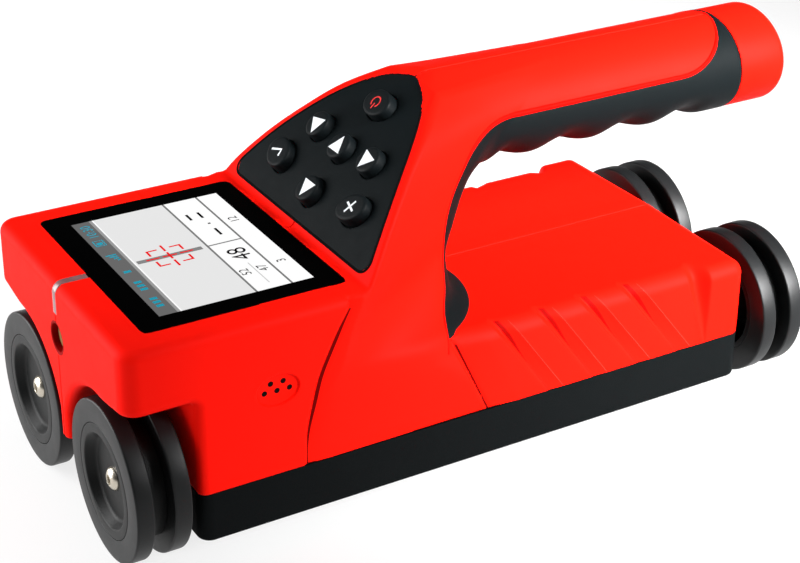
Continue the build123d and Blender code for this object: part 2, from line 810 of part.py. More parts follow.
with BuildPart() as encoder_sensor:
    sensor_z = wheel_r + encoder_r - sensor_bite
    with Locations((encoder_x + encoder_t / 2, -wheel_y, sensor_z)):
        Box(sensor_w, sensor_d, board_z - sensor_z, align=(Align.CENTER, Align.CENTER, Align.MIN))
        Box(sensor_slot, 2 * sensor_d, 2 * (sensor_bite + encoder_t), mode=Mode.SUBTRACT)
finish(encoder_sensor.part, "encoder_sensor")

# Circuit board with its screws and chips
with BuildPart() as main_board:
    with Locations(((board_front_x + board_rear_x) / 2, 0, board_z)):
        Box(board_rear_x - board_front_x, 2 * board_half, board_t,
            align=(Align.CENTER, Align.CENTER, Align.MIN))
    for x in board_post_x:
        with Locations((x, -board_post_y, board_z), (x, board_post_y, board_z)):
            Cylinder(m3_r + seat_gap, 4 * board_t, mode=Mode.SUBTRACT)
finish(main_board.part, "main_board")

with BuildPart() as board_screws:
    for x in board_post_x:
        with Locations((x, -board_post_y, board_z + board_t), (x, board_post_y, board_z + board_t)):
            Cylinder(m3_head_r, m3_head_h, align=(Align.CENTER, Align.CENTER, Align.MIN))
            Cylinder(m3_r, m3_l, align=(Align.CENTER, Align.CENTER, Align.MAX))
finish(board_screws.part, "board_screws")

with BuildPart() as board_chips:
    with Locations((board_front_x / 2, 0, board_z + board_t)):
        with GridLocations(chip_pitch, chip_pitch, 2, 2):
            Box(chip_w, chip_w, chip_t, align=(Align.CENTER, Align.CENTER, Align.MIN))
finish(board_chips.part, "board_chips")

# Coil pack that feels the steel
with BuildPart() as coil_former:
    with BuildSketch(Plane.XY.offset(floor_z)):
        SlotOverall(former_l, former_w)
    extrude(amount=former_t)
    with BuildSketch(Plane.XY.offset(floor_z + former_t)):
        SlotOverall(core_l, core_w)
        SlotOverall(core_l - 2 * core_wall, core_w - 2 * core_wall, mode=Mode.SUBTRACT)
    extrude(amount=former_h - former_t)
finish(coil_former.part, "coil_former")

with BuildPart() as drive_coil:
    with BuildSketch(Plane.XY.offset(floor_z + former_t)):
        SlotOverall(core_l + 2 * coil_t, core_w + 2 * coil_t)
        SlotOverall(core_l + 2 * seat_gap, core_w + 2 * seat_gap, mode=Mode.SUBTRACT)
    extrude(amount=former_h - former_t)
finish(drive_coil.part, "drive_coil")

with BuildPart() as pickup_coils:
    with BuildSketch(Plane.XY.offset(floor_z + former_t)):
        with Locations((-pickup_x, 0), (pickup_x, 0)):
            Circle(pickup_r)
            Circle(pickup_hole_r, mode=Mode.SUBTRACT)
    extrude(amount=pickup_h)
finish(pickup_coils.part, "pickup_coils")

with BuildPart() as ferrite_cores:
    with BuildSketch(Plane.XY.offset(floor_z + former_t)):
        with Locations((-pickup_x, 0), (pickup_x, 0)):
            Circle(pickup_hole_r - seat_gap)
    extrude(amount=ferrite_h)
finish(ferrite_cores.part, "ferrite_cores")

# Display stack
with BuildPart() as display_lens:
    with BuildSketch(Plane.XY.offset(head_top_z - lens_t)):
        with Locations(((lens_front_x + lens_rear_x) / 2, 0)):
            RectangleRounded(lens_rear_x - lens_front_x, 2 * lens_half, lens_r)
    extrude(amount=lens_t)
finish(display_lens.part, "display_lens")

with BuildPart() as lcd_module:
    with Locations((active_x, 0, head_top_z - wall - seat_gap)):
        Box(lcd_l, lcd_w, lcd_t, align=(Align.CENTER, Align.CENTER, Align.MAX))
finish(lcd_module.part, "lcd_module")

with BuildPart() as lcd_bracket:
    with Locations((active_x, 0, head_top_z - wall - seat_gap)):
        Box(lcd_l + 2 * bracket_rim, lcd_w + 2 * bracket_rim, lcd_t + bracket_t,
            align=(Align.CENTER, Align.CENTER, Align.MAX))
        Box(lcd_l + 2 * seat_gap, lcd_w + 2 * seat_gap, lcd_t,
            align=(Align.CENTER, Align.CENTER, Align.MAX), mode=Mode.SUBTRACT)
finish(lcd_bracket.part, "lcd_bracket")

# Indicator strip with its lamp, laser pointer and speaker
finish(guide_form(), "light_guide")

with BuildPart() as lamp:
    with BuildSketch(x_plane(front_x + wall)):
        with Locations((0, head_top_z - guide_drop + 2 * lamp_r)):
            Circle(lamp_r)
    extrude(amount=lamp_l)
finish(lamp.part, "lamp")

with BuildPart() as laser_module:
    with BuildSketch(x_plane(front_x + laser_set)):
        with Locations((0, laser_z)):
            Circle(laser_r)
    extrude(amount=laser_l)
    with BuildSketch(x_plane(front_x + laser_set)):
        with Locations((0, laser_z)):
            Circle(laser_r / 2)
    extrude(amount=laser_set, mode=Mode.SUBTRACT)
finish(laser_module.part, "laser_module")

with BuildPart() as speaker:
    with BuildSketch(Plane.XZ.offset(half_width - wall)):
        with Locations((speaker_x, speaker_z)):
            Circle(speaker_r)
    extrude(amount=-speaker_t)
finish(speaker.part, "speaker")

# Keypad: mat, keys, domes and board
with BuildPart() as keypad_mat:
    add(mat_space(0))
    add(above_slope(0), mode=Mode.SUBTRACT)
    add(key_holes(key_gap), mode=Mode.SUBTRACT)
finish(keypad_mat.part, "keypad_mat")

for name, u, v, length, width, tilt in keys:
    with BuildPart() as key:
        with BuildSketch(slope_top.offset(stem_n)):
            with Locations(Location((u, v), tilt)):
                Ellipse(width / 2 - stem_in, length / 2 - stem_in)
        extrude(amount=slope_height(u) - stem_n)
        with BuildSketch(slope_top.offset(slope_height(u) - mat_t - mat_ledge)):
            with Locations(Location((u, v), tilt)):
                Ellipse(width / 2, length / 2)
        extrude(amount=mat_t + mat_ledge + key_proud)
        fillet(key.faces().sort_by(Axis(slope_mid, slope_normal))[-1].edges(), key_round)
    finish(key.part, name)

with BuildPart() as key_domes:
    with BuildSketch(slope_top.offset(key_board_n)):
        for name, u, v, length, width, tilt in keys:
            with Locations((u, v)):
                Circle(dome_r)
    extrude(amount=dome_t)
finish(key_domes.part, "key_domes")

with BuildPart() as key_board:
    add(mat_outline(key_board_in, key_board_n))
    extrude(amount=-key_board_t, dir=slope_normal)
finish(key_board.part, "key_board")

# Battery cap with its seal and contact plate
spigot_y = bore_y - loose_gap
spigot_z = bore_z - loose_gap
seal_x = ring_x - spigot_l / 2
with BuildPart() as battery_cap:
    with BuildSketch(x_plane(ring_x + cap_gap)):
        with Locations((0, handle_axis_z)):
            Ellipse(handle_y, handle_z)
    extrude(amount=cap_end_x - ring_x - cap_gap)
    fillet(battery_cap.faces().sort_by(Axis.X)[-1].edges(), cap_round)
    add(oval_bar(spigot_y, spigot_z, ring_x - spigot_l, ring_x + cap_gap))
    add(oval_bar(spigot_y - spigot_wall, spigot_z - spigot_wall, ring_x - spigot_l, cap_end_x - 2 * cap_wall),
        mode=Mode.SUBTRACT)
    with BuildSketch(x_plane(seal_x - seal_w / 2)):
        with Locations((0, core_axis_z)):
            Ellipse(bore_y, bore_z)
            Ellipse(spigot_y - seal_t, spigot_z - seal_t, mode=Mode.SUBTRACT)
    extrude(amount=seal_w, mode=Mode.SUBTRACT)
finish(battery_cap.part, "battery_cap")

with BuildPart() as cap_seal:
    with BuildSketch(x_plane(seal_x - seal_w / 2)):
        with Locations((0, core_axis_z)):
            Ellipse(spigot_y + seat_gap, spigot_z + seat_gap)
            Ellipse(spigot_y - seal_t + seat_gap, spigot_z - seal_t + seat_gap, mode=Mode.SUBTRACT)
    extrude(amount=seal_w)
finish(cap_seal.part, "cap_seal")

with BuildPart() as cap_contact:
    add(oval_bar(spigot_y - spigot_wall - seat_gap, spigot_z - spigot_wall - seat_gap,
                 ring_x - contact_t, ring_x))
    with BuildSketch(x_plane(ring_x - contact_t)):
        with Locations((-cell_y, core_axis_z), (cell_y, core_axis_z)):
            Circle(contact_pad_r)
    extrude(amount=-(spigot_l - contact_t))
finish(cap_contact.part, "cap_contact")

# Two round cells side by side in a cradle inside the handle
with BuildPart() as battery_cells:
    with BuildSketch(x_plane(cell_front_x)):
        with Locations((-cell_y, core_axis_z), (cell_y, core_axis_z)):
            Circle(cell_r)
    extrude(amount=cell_l - cell_cap_t)
    with BuildSketch(x_plane(cell_rear_x - cell_cap_t)):
        with Locations((-cell_y, core_axis_z), (cell_y, core_axis_z)):
            Circle(cell_cap_r)
    extrude(amount=cell_cap_t)
finish(battery_cells.part, "battery_cells")

with BuildPart() as battery_cradle:
    add(oval_bar(bore_y - seat_gap, bore_z - seat_gap, cell_front_x - contact_t - cradle_wall_t, cell_rear_x))
    with BuildSketch(x_plane(cell_front_x - contact_t)):
        with Locations((-cell_y, core_axis_z), (cell_y, core_axis_z)):
            Circle(cell_r + seat_gap)
    extrude(amount=cell_l + 2 * contact_t, mode=Mode.SUBTRACT)
finish(battery_cradle.part, "battery_cradle")

with BuildPart() as cell_contacts:
    with BuildSketch(x_plane(cell_front_x - contact_t)):
        with Locations((-cell_y, core_axis_z), (cell_y, core_axis_z)):
            Circle(cell_r - loose_gap)
    extrude(amount=contact_t)
finish(cell_contacts.part, "cell_contacts")

# Screws that close the case
with BuildPart() as base_screws:
    for x in base_screw_x:
        with Locations((x, -base_screw_y, tray_z + base_sink), (x, base_screw_y, tray_z + base_sink)):
            Cylinder(base_head_r, base_head_h, align=(Align.CENTER, Align.CENTER, Align.MAX))
            Cylinder(m3_r, base_screw_l, align=(Align.CENTER, Align.CENTER, Align.MIN))
finish(base_screws.part, "base_screws")

with BuildPart() as case_screws:
    with BuildSketch(Plane.XZ.offset(-shell_head_depth)):
        with Locations(*shell_screws):
            Circle(m3_head_r)
    extrude(amount=-m3_head_h)
    with BuildSketch(Plane.XZ.offset(-shell_head_depth)):
        with Locations(*shell_screws):
            Circle(m3_r)
    extrude(amount=shell_head_depth + shell_screw_l - wall)
finish(case_screws.part, "case_screws")
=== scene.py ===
"""Looks of a rebar scanner: red two-half case, rubber grip, keypad, display and four twin-disc wheels.

Sizes are millimetres. -X is the front and -Y the left. X starts at a design origin that lies CENTRE
in front of the frame's, which put_mesh, Shade and the camera allow for.
"""

import json
import logging
from dataclasses import dataclass, field
from enum import Enum
from functools import reduce
from typing import Any, Callable, Sequence

import bmesh
import bpy
import numpy as np
from mathutils import Matrix, Vector


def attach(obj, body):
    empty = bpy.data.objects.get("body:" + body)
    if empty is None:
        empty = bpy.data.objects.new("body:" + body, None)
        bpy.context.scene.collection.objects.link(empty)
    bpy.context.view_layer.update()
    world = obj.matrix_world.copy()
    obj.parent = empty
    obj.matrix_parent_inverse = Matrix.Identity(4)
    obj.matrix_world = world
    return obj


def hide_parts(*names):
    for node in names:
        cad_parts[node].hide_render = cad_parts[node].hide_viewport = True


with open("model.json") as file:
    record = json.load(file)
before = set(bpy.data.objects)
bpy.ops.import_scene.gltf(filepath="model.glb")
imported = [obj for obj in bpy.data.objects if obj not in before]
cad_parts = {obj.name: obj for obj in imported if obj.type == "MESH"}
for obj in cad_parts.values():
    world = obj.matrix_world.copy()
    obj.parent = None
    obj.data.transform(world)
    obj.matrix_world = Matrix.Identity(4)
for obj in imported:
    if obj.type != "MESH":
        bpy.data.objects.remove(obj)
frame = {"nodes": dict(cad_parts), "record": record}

Array = np.ndarray
Form = Callable[[Array, Array, Array], Array]
Colour = tuple[float, float, float]
Place = tuple[float, float, float]
Pair = tuple[float, float]
Row = tuple[float, ...]

MM = 0.001
CENTRE = 1.3
AXLE_Y = 31.23
AXLE_Z = 26.0
TURN = 2 * np.pi
HALVINGS = 40
NORMAL_STEP = 0.22
SIDE_SHARE = 0.49
WELD = 1e-7
log = logging.getLogger("scanner")


class Body(str, Enum):
    """The groups of pieces that move together."""

    CASE = "case"
    CAP = "cap"


class Side(Enum):
    """The two sides of the scanner, by the sign of Y."""

    LEFT = -1
    RIGHT = 1

    @property
    def word(self) -> str:
        """The side's name in node and body names."""
        return self.name.lower()


class Slot(str, Enum):
    """The record's material slots."""

    RED = "red_shell"
    TRAY = "black_tray"
    GRIP = "grip_rubber"
    HUB = "hub_plastic"
    TYRE = "tyre_rubber"
    AXLE = "axle_steel"
    SCREW = "screw_nickel"
    ENCODER = "encoder_plastic"
    BOARD = "board_green"
    FORMER = "former_plastic"
    COPPER = "copper_wire"
    FERRITE = "ferrite"
    GLASS = "display_glass"
    PANEL = "lcd_panel"
    CLEAR = "clear_plastic"
    BRASS = "laser_brass"
    MAT = "keypad_silicone"
    KEY = "key_silicone"
    SEAL = "seal_rubber"
    CELL = "cell_wrap"


class Wire:
    """A node socket that takes part in Python arithmetic: each operator adds one Math node."""

    def __init__(self, shade: "Shade", socket: bpy.types.NodeSocket) -> None:
        """Keep the socket and the tree it belongs to."""
        self.shade = shade
        self.socket = socket

    def join(self, operation: str, *values: "Wire | float") -> "Wire":
        """Add a Math node.

        Args:
            operation: Blender's name of the operation.
            values: its operands in order, wires or plain numbers.

        Returns:
            The node's result.
        """
        return self.shade.node("ShaderNodeMath", {"operation": operation}, dict(enumerate(values)))

    def __add__(self, other: "Wire | float") -> "Wire":
        """Sum."""
        return self.join("ADD", self, other)

    def __radd__(self, other: float) -> "Wire":
        """Sum with a number first."""
        return self.join("ADD", other, self)

    def __sub__(self, other: "Wire | float") -> "Wire":
        """Difference."""
        return self.join("SUBTRACT", self, other)

    def __rsub__(self, other: float) -> "Wire":
        """Difference from a number."""
        return self.join("SUBTRACT", other, self)

    def __mul__(self, other: "Wire | float") -> "Wire":
        """Product."""
        return self.join("MULTIPLY", self, other)

    def __rmul__(self, other: float) -> "Wire":
        """Product with a number first."""
        return self.join("MULTIPLY", other, self)

    def __truediv__(self, other: "Wire | float") -> "Wire":
        """Quotient."""
        return self.join("DIVIDE", self, other)

    def __abs__(self) -> "Wire":
        """Size without sign."""
        return self.join("ABSOLUTE", self)

    def sine(self) -> "Wire":
        """Sine of the value in radians."""
        return self.join("SINE", self)

    def root(self) -> "Wire":
        """Square root."""
        return self.join("SQRT", self)

    def __lt__(self, other: "Wire | float") -> "Wire":
        """One where this is the smaller, else nothing."""
        return self.join("LESS_THAN", self, other)

    def __gt__(self, other: "Wire | float") -> "Wire":
        """One where this is the larger, else nothing."""
        return self.join("GREATER_THAN", self, other)

    def __and__(self, other: "Wire | float") -> "Wire":
        """The smaller of the two: where both masks hold."""
        return self.join("MINIMUM", self, other)

    def __or__(self, other: "Wire | float") -> "Wire":
        """The larger of the two: where either mask holds."""
        return self.join("MAXIMUM", self, other)


class Shade:
    """One material's node tree and the few calls that fill it."""

    def __init__(self, name: str) -> None:
        """Start an empty tree.

        Args:
            name: the material's name.
        """
        self.material = bpy.data.materials.new(name)
        self.material.use_nodes = True
        self.tree = self.material.node_tree
        self.tree.nodes.clear()
        coords = self.node("ShaderNodeTexCoord", output="Object")
        self.place = self.node("ShaderNodeVectorMath", {"operation": "MULTIPLY_ADD"}, {
            0: coords, 1: (1 / MM, 1 / MM, 1 / MM), 2: (CENTRE, 0.0, 0.0)})
        self.x, self.y, self.z = (
            self.node("ShaderNodeSeparateXYZ", {}, {0: self.place}, output) for output in "XYZ")

    def node(self, kind: str, settings: dict[str, Any] | None = None,
             inputs: dict[int | str, Any] | None = None, output: int | str = 0) -> Wire:
        """Add any node.

        Args:
            kind: Blender's type name.
            settings: the node's own settings, set first.
            inputs: socket index or name, with a wire or a plain value for each.
            output: the output to hand back.

        Returns:
            That output as a wire.
        """
        made = self.tree.nodes.new(kind)
        for key, value in (settings or {}).items():
            setattr(made, key, value)
        for key, value in (inputs or {}).items():
            if isinstance(value, Wire):
                self.tree.links.new(value.socket, made.inputs[key])
            else:
                made.inputs[key].default_value = value
        return Wire(self, made.outputs[output])

    def noise(self, size: float, detail: float = 3.0, rough: float = 0.55) -> Wire:
        """Cloudy noise from nothing to one.

        Args:
            size: width of one cloud in mm.
            detail: octaves.
            rough: weight of the finer octaves.

        Returns:
            The noise value.
        """
        return self.node("ShaderNodeTexNoise", {}, {
            "Vector": self.place, "Scale": 1 / size, "Detail": detail, "Roughness": rough})

    def finished(self, values: dict[str, Any]) -> bpy.types.Material:
        """Close the tree with a Principled shader.

        Args:
            values: the shader's socket names with a wire or a plain value for each.

        Returns:
            The material.
        """
        skin = self.node("ShaderNodeBsdfPrincipled", {}, values)
        out = self.tree.nodes.new("ShaderNodeOutputMaterial")
        self.tree.links.new(skin.socket, out.inputs["Surface"])
        return self.material

    def blend(self, under: Wire | Colour, over: Wire | Colour, share: Wire) -> Wire:
        """Mix two colours; the Mix node has them at inputs 6 and 7 and the result at output 2.

        Args:
            under: colour where share is nothing.
            over: colour where share is one.
            share: the mask.

        Returns:
            The mixed colour.
        """
        under, over = (c if isinstance(c, Wire) else (*c, 1.0) for c in (under, over))
        return self.node("ShaderNodeMix", {"data_type": "RGBA"}, {0: share, 6: under, 7: over}, 2)


@dataclass(frozen=True)
class Finish:
    """One finish: its colour, gloss and the small relief of its skin.

    The colour drifts by a share over clouds of drift_size mm, the gloss with it, and the relief is
    fine grain of grain_size mm.
    """

    slot: Slot
    colour: Colour
    rough: float = 0.5
    metal: float = 0.0
    specular: float = 0.5
    coat: float = 0.0
    sheen: float = 0.0
    drift: float = 0.1
    drift_size: float = 12.0
    grain: float = 0.12
    grain_size: float = 0.35
    glow: float = 0.0
    gloss_drift: float = 0.1
    coat_rough: float = 0.15
    sheen_rough: float = 0.4

    def tint(self, shade: Shade) -> Wire:
        """Colour over the surface: the base, darkened in slow clouds.

        Args:
            shade: the tree to add to.

        Returns:
            The colour.
        """
        dark = tuple(c * (1 - self.drift) for c in self.colour)
        return shade.blend(dark, self.colour, shade.noise(self.drift_size))

    def relief(self, shade: Shade) -> Wire:
        """Height of the skin: fine grain noise.

        Args:
            shade: the tree to add to.

        Returns:
            The height.
        """
        return shade.noise(self.grain_size, detail=2.0)

    def light(self, shade: Shade) -> Wire | None:
        """Colour that the surface gives off by itself, if any."""
        return self.tint(shade) if self.glow else None

    def gloss(self, shade: Shade) -> Wire:
        """Roughness: the base value, up and down by a share in smaller clouds."""
        cloud = shade.noise(self.drift_size / 3)
        return self.rough * (1 - self.gloss_drift + 2 * self.gloss_drift * cloud)

    def material(self) -> bpy.types.Material:
        """The finish as a material, made once.

        Returns:
            The material.
        """
        name = f"{self.slot.value}.{type(self).__name__}"
        made = bpy.data.materials.get(name)
        if made:
            return made
        shade = Shade(name)
        bump = shade.node("ShaderNodeBump", {}, {
            "Height": self.relief(shade), "Strength": self.grain, "Distance": self.grain_size * MM})
        values = {
            "Base Color": self.tint(shade), "Roughness": self.gloss(shade), "Normal": bump,
            "Metallic": self.metal, "Specular IOR Level": self.specular, "Coat Weight": self.coat,
            "Coat Roughness": self.coat_rough, "Sheen Weight": self.sheen,
            "Sheen Roughness": self.sheen_rough}
        light = self.light(shade)
        if light:
            values |= {"Emission Color": light, "Emission Strength": self.glow}
        return shade.finished(values)


@dataclass(frozen=True)
class TurnedFinish(Finish):
    """A turned or rolled part: faint rings round the axle line as well as grain."""

    ring: float = 0.55
    ring_depth: float = 0.08

    def relief(self, shade: Shade) -> Wire:
        """Height: grain plus a sine of the distance from the axle line.

        Args:
            shade: the tree to add to.

        Returns:
            The height.
        """
        across = abs(shade.y) - AXLE_Y
        up = shade.z - AXLE_Z
        far = (across * across + up * up).root()
        return super().relief(shade) + self.ring_depth * (far * (TURN / self.ring)).sine()


@dataclass(frozen=True)
class WoundFinish(Finish):
    """Enamelled wire wound in level layers."""

    wire: float = 0.45
    fuzz: float = 0.4

    def relief(self, shade: Shade) -> Wire:
        """Height: a sine up the winding, one wave for each wire."""
        return (shade.z * (TURN / self.wire)).sine() + self.fuzz * shade.noise(self.grain_size)


@dataclass(frozen=True)
class BoardFinish(Finish):
    """A circuit board: solder mask with paler copper runs under it."""

    run: float = 2.2
    run_colour: Colour = (0.07, 0.36, 0.16)
    run_edges: Pair = (0.7, 0.75)
    patch: float = 7.0

    def tint(self, shade: Shade) -> Wire:
        """Mask colour with straight runs: one set of stripes inside clouds, the other between them.

        Args:
            shade: the tree to add to.

        Returns:
            The colour.
        """
        along, across = ((place * (TURN / self.run)).sine() for place in (shade.y, shade.x))
        cloud = shade.noise(self.patch, detail=1.0) > 0.5
        runs = ((along > self.run_edges[0]) & cloud) | ((across > self.run_edges[1]) & (1 - cloud))
        return shade.blend(self.colour, self.run_colour, runs)


@dataclass(frozen=True)
class ScreenFinish(Finish):
    """Black printed glass with a lit picture behind it: bar, field, target and number rows.

    The picture's top edge faces the front of the scanner, so its height runs along X. Feet, rows and
    the split are shares of that height, and the target's reaches are shares of its half width.
    """

    top_x: float = -113.8
    end_x: float = -62.7
    half: float = 35.2
    bar: Colour = (0.14, 0.14, 0.14)
    bar_foot: float = 0.115
    lip: Colour = (0.33, 0.33, 0.33)
    lip_foot: float = 0.135
    white: Colour = (1.0, 1.0, 1.0)
    white_foot: float = 0.145
    ground: Colour = (0.8, 0.8, 0.8)
    ground_foot: float = 0.62
    line: Colour = (0.19, 0.19, 0.19)
    rows: Pair = (0.622, 0.855)
    row_half: float = 0.007
    post_half: float = 0.35
    post_foot: float = 0.86
    thin: Colour = (0.6, 0.6, 0.6)
    split: float = 0.74
    split_half: float = 0.004
    split_y: float = -24.0
    split_reach: float = 7.5
    beam: Colour = (0.24, 0.24, 0.24)
    beam_half: float = 1.1
    beam_reach: float = 2.0
    red: Colour = (0.85, 0.006, 0.008)
    target_x: float = -94.9
    target: float = 5.5
    stroke: float = 0.75
    corner_reach: Pair = (0.38, 1.1)
    tick_reach: float = 1.43
    tick_gap: float = 2.9
    tick_gap_half: float = 0.5

    def light(self, shade: Shade) -> Wire:
        """Colour of the picture, drawn from boxes in X and Y; black outside it.

        Args:
            shade: the tree to add to.

        Returns:
            The colour that the panel gives off.
        """
        down = (shade.x - self.top_x) / (self.end_x - self.top_x)
        inside = (down > 0.0) & (down < 1.0) & (abs(shade.y) < self.half)
        colour: Wire | Colour = self.white
        for foot, tone in ((self.ground_foot, self.ground), (self.white_foot, self.white),
                           (self.lip_foot, self.lip), (self.bar_foot, self.bar)):
            colour = shade.blend(colour, tone, down < foot)
        upper, lower = (abs(down - row) < self.row_half for row in self.rows)
        posts = (abs(shade.y) < self.post_half) & (down > self.ground_foot) & (down < self.post_foot)
        colour = shade.blend(colour, self.line, upper | lower | posts)
        split = abs(down - self.split) < self.split_half
        colour = shade.blend(colour, self.thin, split & (abs(shade.y - self.split_y) < self.split_reach))
        along, across = abs(shade.x - self.target_x), abs(shade.y)
        beam = (across < self.beam_half) & (along < self.beam_reach * self.target)
        colour = shade.blend(colour, self.beam, beam)
        wide, near = along | across, along & across
        start, end = self.corner_reach
        corners = (abs(wide - self.target) < self.stroke / 2) & (near > start * self.target)
        ticks = (near < self.stroke / 2) & (wide < self.tick_reach * self.target)
        ticks = ticks & (abs(wide - self.tick_gap) > self.tick_gap_half)
        colour = shade.blend(colour, self.red, (corners & (wide < end * self.target)) | ticks)
        return shade.blend((0.0, 0.0, 0.0), colour, inside)


RED = Finish(Slot.RED, (0.93, 0.0058, 0.0016), 0.56, specular=0.03, drift=0.03, drift_size=26.0,
             grain=0.08, grain_size=0.28)
TRAY = Finish(Slot.TRAY, (0.0034, 0.0043, 0.0046), 0.6, specular=0.03, drift=0.2, grain=0.2,
              grain_size=0.4)
GRIP = Finish(Slot.GRIP, (0.0038, 0.0056, 0.0062), 0.6, specular=0.04, sheen=0.003, drift=0.12,
              grain=0.22, grain_size=0.3)
HUB = TurnedFinish(Slot.HUB, (0.0042, 0.0046, 0.0046), 0.42, specular=0.13, grain=0.08)
TYRE = TurnedFinish(Slot.TYRE, (0.0062, 0.0068, 0.0072), 0.42, specular=0.2, drift=0.2, grain=0.1)
AXLE = TurnedFinish(Slot.AXLE, (0.6, 0.6, 0.61), 0.28, 1.0, grain=0.15)
SCREW = TurnedFinish(Slot.SCREW, (0.6, 0.55, 0.46), 0.3, 1.0, grain=0.05, ring=0.3)
ENCODER = Finish(Slot.ENCODER, (0.02, 0.02, 0.02), 0.5)
BOARD = BoardFinish(Slot.BOARD, (0.02, 0.18, 0.07), 0.35)
FORMER = Finish(Slot.FORMER, (0.7, 0.68, 0.62), 0.5)
COPPER = WoundFinish(Slot.COPPER, (0.62, 0.24, 0.09), 0.3, 0.9, grain=0.6)
FERRITE = Finish(Slot.FERRITE, (0.06, 0.06, 0.065), 0.7, grain=0.4)
GLASS = ScreenFinish(Slot.GLASS, (0.0004, 0.0004, 0.0004), 0.2, specular=0.008, grain=0.01, glow=1.0)
PANEL = Finish(Slot.PANEL, (0.7, 0.71, 0.73), 0.3)
CLEAR = Finish(Slot.CLEAR, (0.3, 0.13, 0.135), 0.25, coat=0.12, drift=0.6, drift_size=3.0, grain=0.06)
BRASS = Finish(Slot.BRASS, (0.3, 0.17, 0.05), 0.45, 0.2, grain=0.1)
MAT = Finish(Slot.MAT, (0.0025, 0.0048, 0.0057), 0.6, specular=0.06, sheen=0.002, drift=0.2, grain=0.2)
KEY = Finish(Slot.KEY, (0.0028, 0.0048, 0.0057), 0.54, specular=0.09, sheen=0.003, drift=0.2, grain=0.18)
SEAL = Finish(Slot.SEAL, (0.015, 0.015, 0.015), 0.5)
CELL = Finish(Slot.CELL, (0.05, 0.16, 0.36), 0.3, coat=0.3)


@dataclass(frozen=True)
class PrintFinish(Finish):
    """A small flat colour with its own name: ink, a lit mark, painted shade in a line, gap or hole, a
    painted highlight, or a bead.
    """

    name: str = "white"

    def material(self) -> bpy.types.Material:
        """The ink as a material, one for each name.

        Returns:
            The material.
        """
        made = bpy.data.materials.get(self.name)
        if not made:
            made = super().material()
            made.name = self.name
        return made


# Ink of the key signs; its faint glow is painted light, the ink giving off a little of its own.
WHITE_INK_GLOW = PrintFinish(Slot.KEY, (0.78, 0.82, 0.86), 0.5, drift=0.05, name="ink_white_glow", glow=0.05)
RED_INK_GLOW = PrintFinish(Slot.KEY, (0.75, 0.012, 0.01), 0.5, drift=0.05, name="ink_red_glow", glow=0.05)
DARK_MARK = PrintFinish(Slot.GLASS, (0.001, 0.001, 0.001), 0.3, specular=0.02, name="mark_dark")
BLUE_MARK = PrintFinish(Slot.GLASS, (0.008, 0.16, 0.22), 0.3, specular=0.05, name="mark_blue", glow=0.9)
# Painted shade: a dark red laid as thin strips along the head's groove and the panel's foot.
CREASE_SHADE = PrintFinish(Slot.RED, (0.12, 0.0006, 0.0003), 0.6, specular=0.03, drift=0.1, name="crease_painted_shade")
# Painted shade, softer: the wedge strips on the ribs and the ring that lines the laser hole.
SOFT_SHADE = PrintFinish(Slot.RED, (0.26, 0.001, 0.0004), 0.6, specular=0.03, drift=0.1,
                          name="soft_painted_shade")
BEAD = PrintFinish(Slot.RED, (0.9, 0.0022, 0.0006), 0.65, specular=0.02, drift=0.05, name="bead_red")
# Painted highlight: a paler red laid as thin strips along the ribs' ridges.
RIDGE_HIGHLIGHT = PrintFinish(Slot.RED, (0.95, 0.03, 0.018), 0.45, specular=0.1, drift=0.1, name="ridge_painted_highlight")
# Painted shade: near black for the speaker holes and the gap round the keypad mat.
HOLE_SHADE = PrintFinish(Slot.HUB, (0.002, 0.002, 0.002), 0.9, specular=0.05, name="hole_painted_shade")


def span(value: Array, start: float, end: float) -> Array:
    """Ease from nothing at start to one at end, as 3t^2 - 2t^3."""
    t = np.clip((value - start) / (end - start), 0, 1)
    return t * t * (3 - 2 * t)


def both(a: Array, b: Array, radius: Array | float) -> Array:
    """Where two forms overlap, the edge between them rounded.

    Args:
        a: signed distance to the first form, negative inside.
        b: signed distance to the second.
        radius: edge radius.

    Returns:
        The larger distance, with the hypotenuse of both near the edge.
    """
    near = np.hypot(np.maximum(a + radius, 0), np.maximum(b + radius, 0))
    return np.minimum(np.maximum(a, b), -radius) + near


def either(a: Array, b: Array, radius: Array | float) -> Array:
    """Two forms joined, the inner corner between them filled to a radius; arguments as in both."""
    near = np.hypot(np.maximum(radius - a, 0), np.maximum(radius - b, 0))
    return np.maximum(np.minimum(a, b), radius) - near


def overlap(*forms: Array) -> Array:
    """Where all the forms overlap, with sharp edges: the largest of their distances."""
    return reduce(np.maximum, forms)


def circle(steps: int) -> Array:
    """Angles of even steps once round."""
    return np.linspace(0, TURN, steps, endpoint=False)


def spun(a: Array | float, b: Array | float, degrees: float) -> tuple[Array, Array]:
    """The place a, b turned round the origin: a cos - b sin, and a sin + b cos."""
    c, s = np.cos(np.radians(degrees)), np.sin(np.radians(degrees))
    return a * c - b * s, a * s + b * c


def through(knots: Sequence[float], values: Sequence[float], at: Array) -> Array:
    """Smooth curve through points: a cubic between each two, slopes from the points beside them.

    Args:
        knots: rising places of the points.
        values: heights of the points.
        at: places to work out; beyond the ends the last height holds.

    Returns:
        The curve's heights.
    """
    k, v = np.asarray(knots, float), np.asarray(values, float)
    slope = np.gradient(v, k)
    i = np.clip(np.searchsorted(k, at) - 1, 0, len(k) - 2)
    run = k[i + 1] - k[i]
    t = np.clip((at - k[i]) / run, 0, 1)
    start = (2 * t**3 - 3 * t**2 + 1) * v[i] + (t**3 - 2 * t**2 + t) * run * slope[i]
    return start + (3 * t**2 - 2 * t**3) * v[i + 1] + (t**3 - t**2) * run * slope[i + 1]


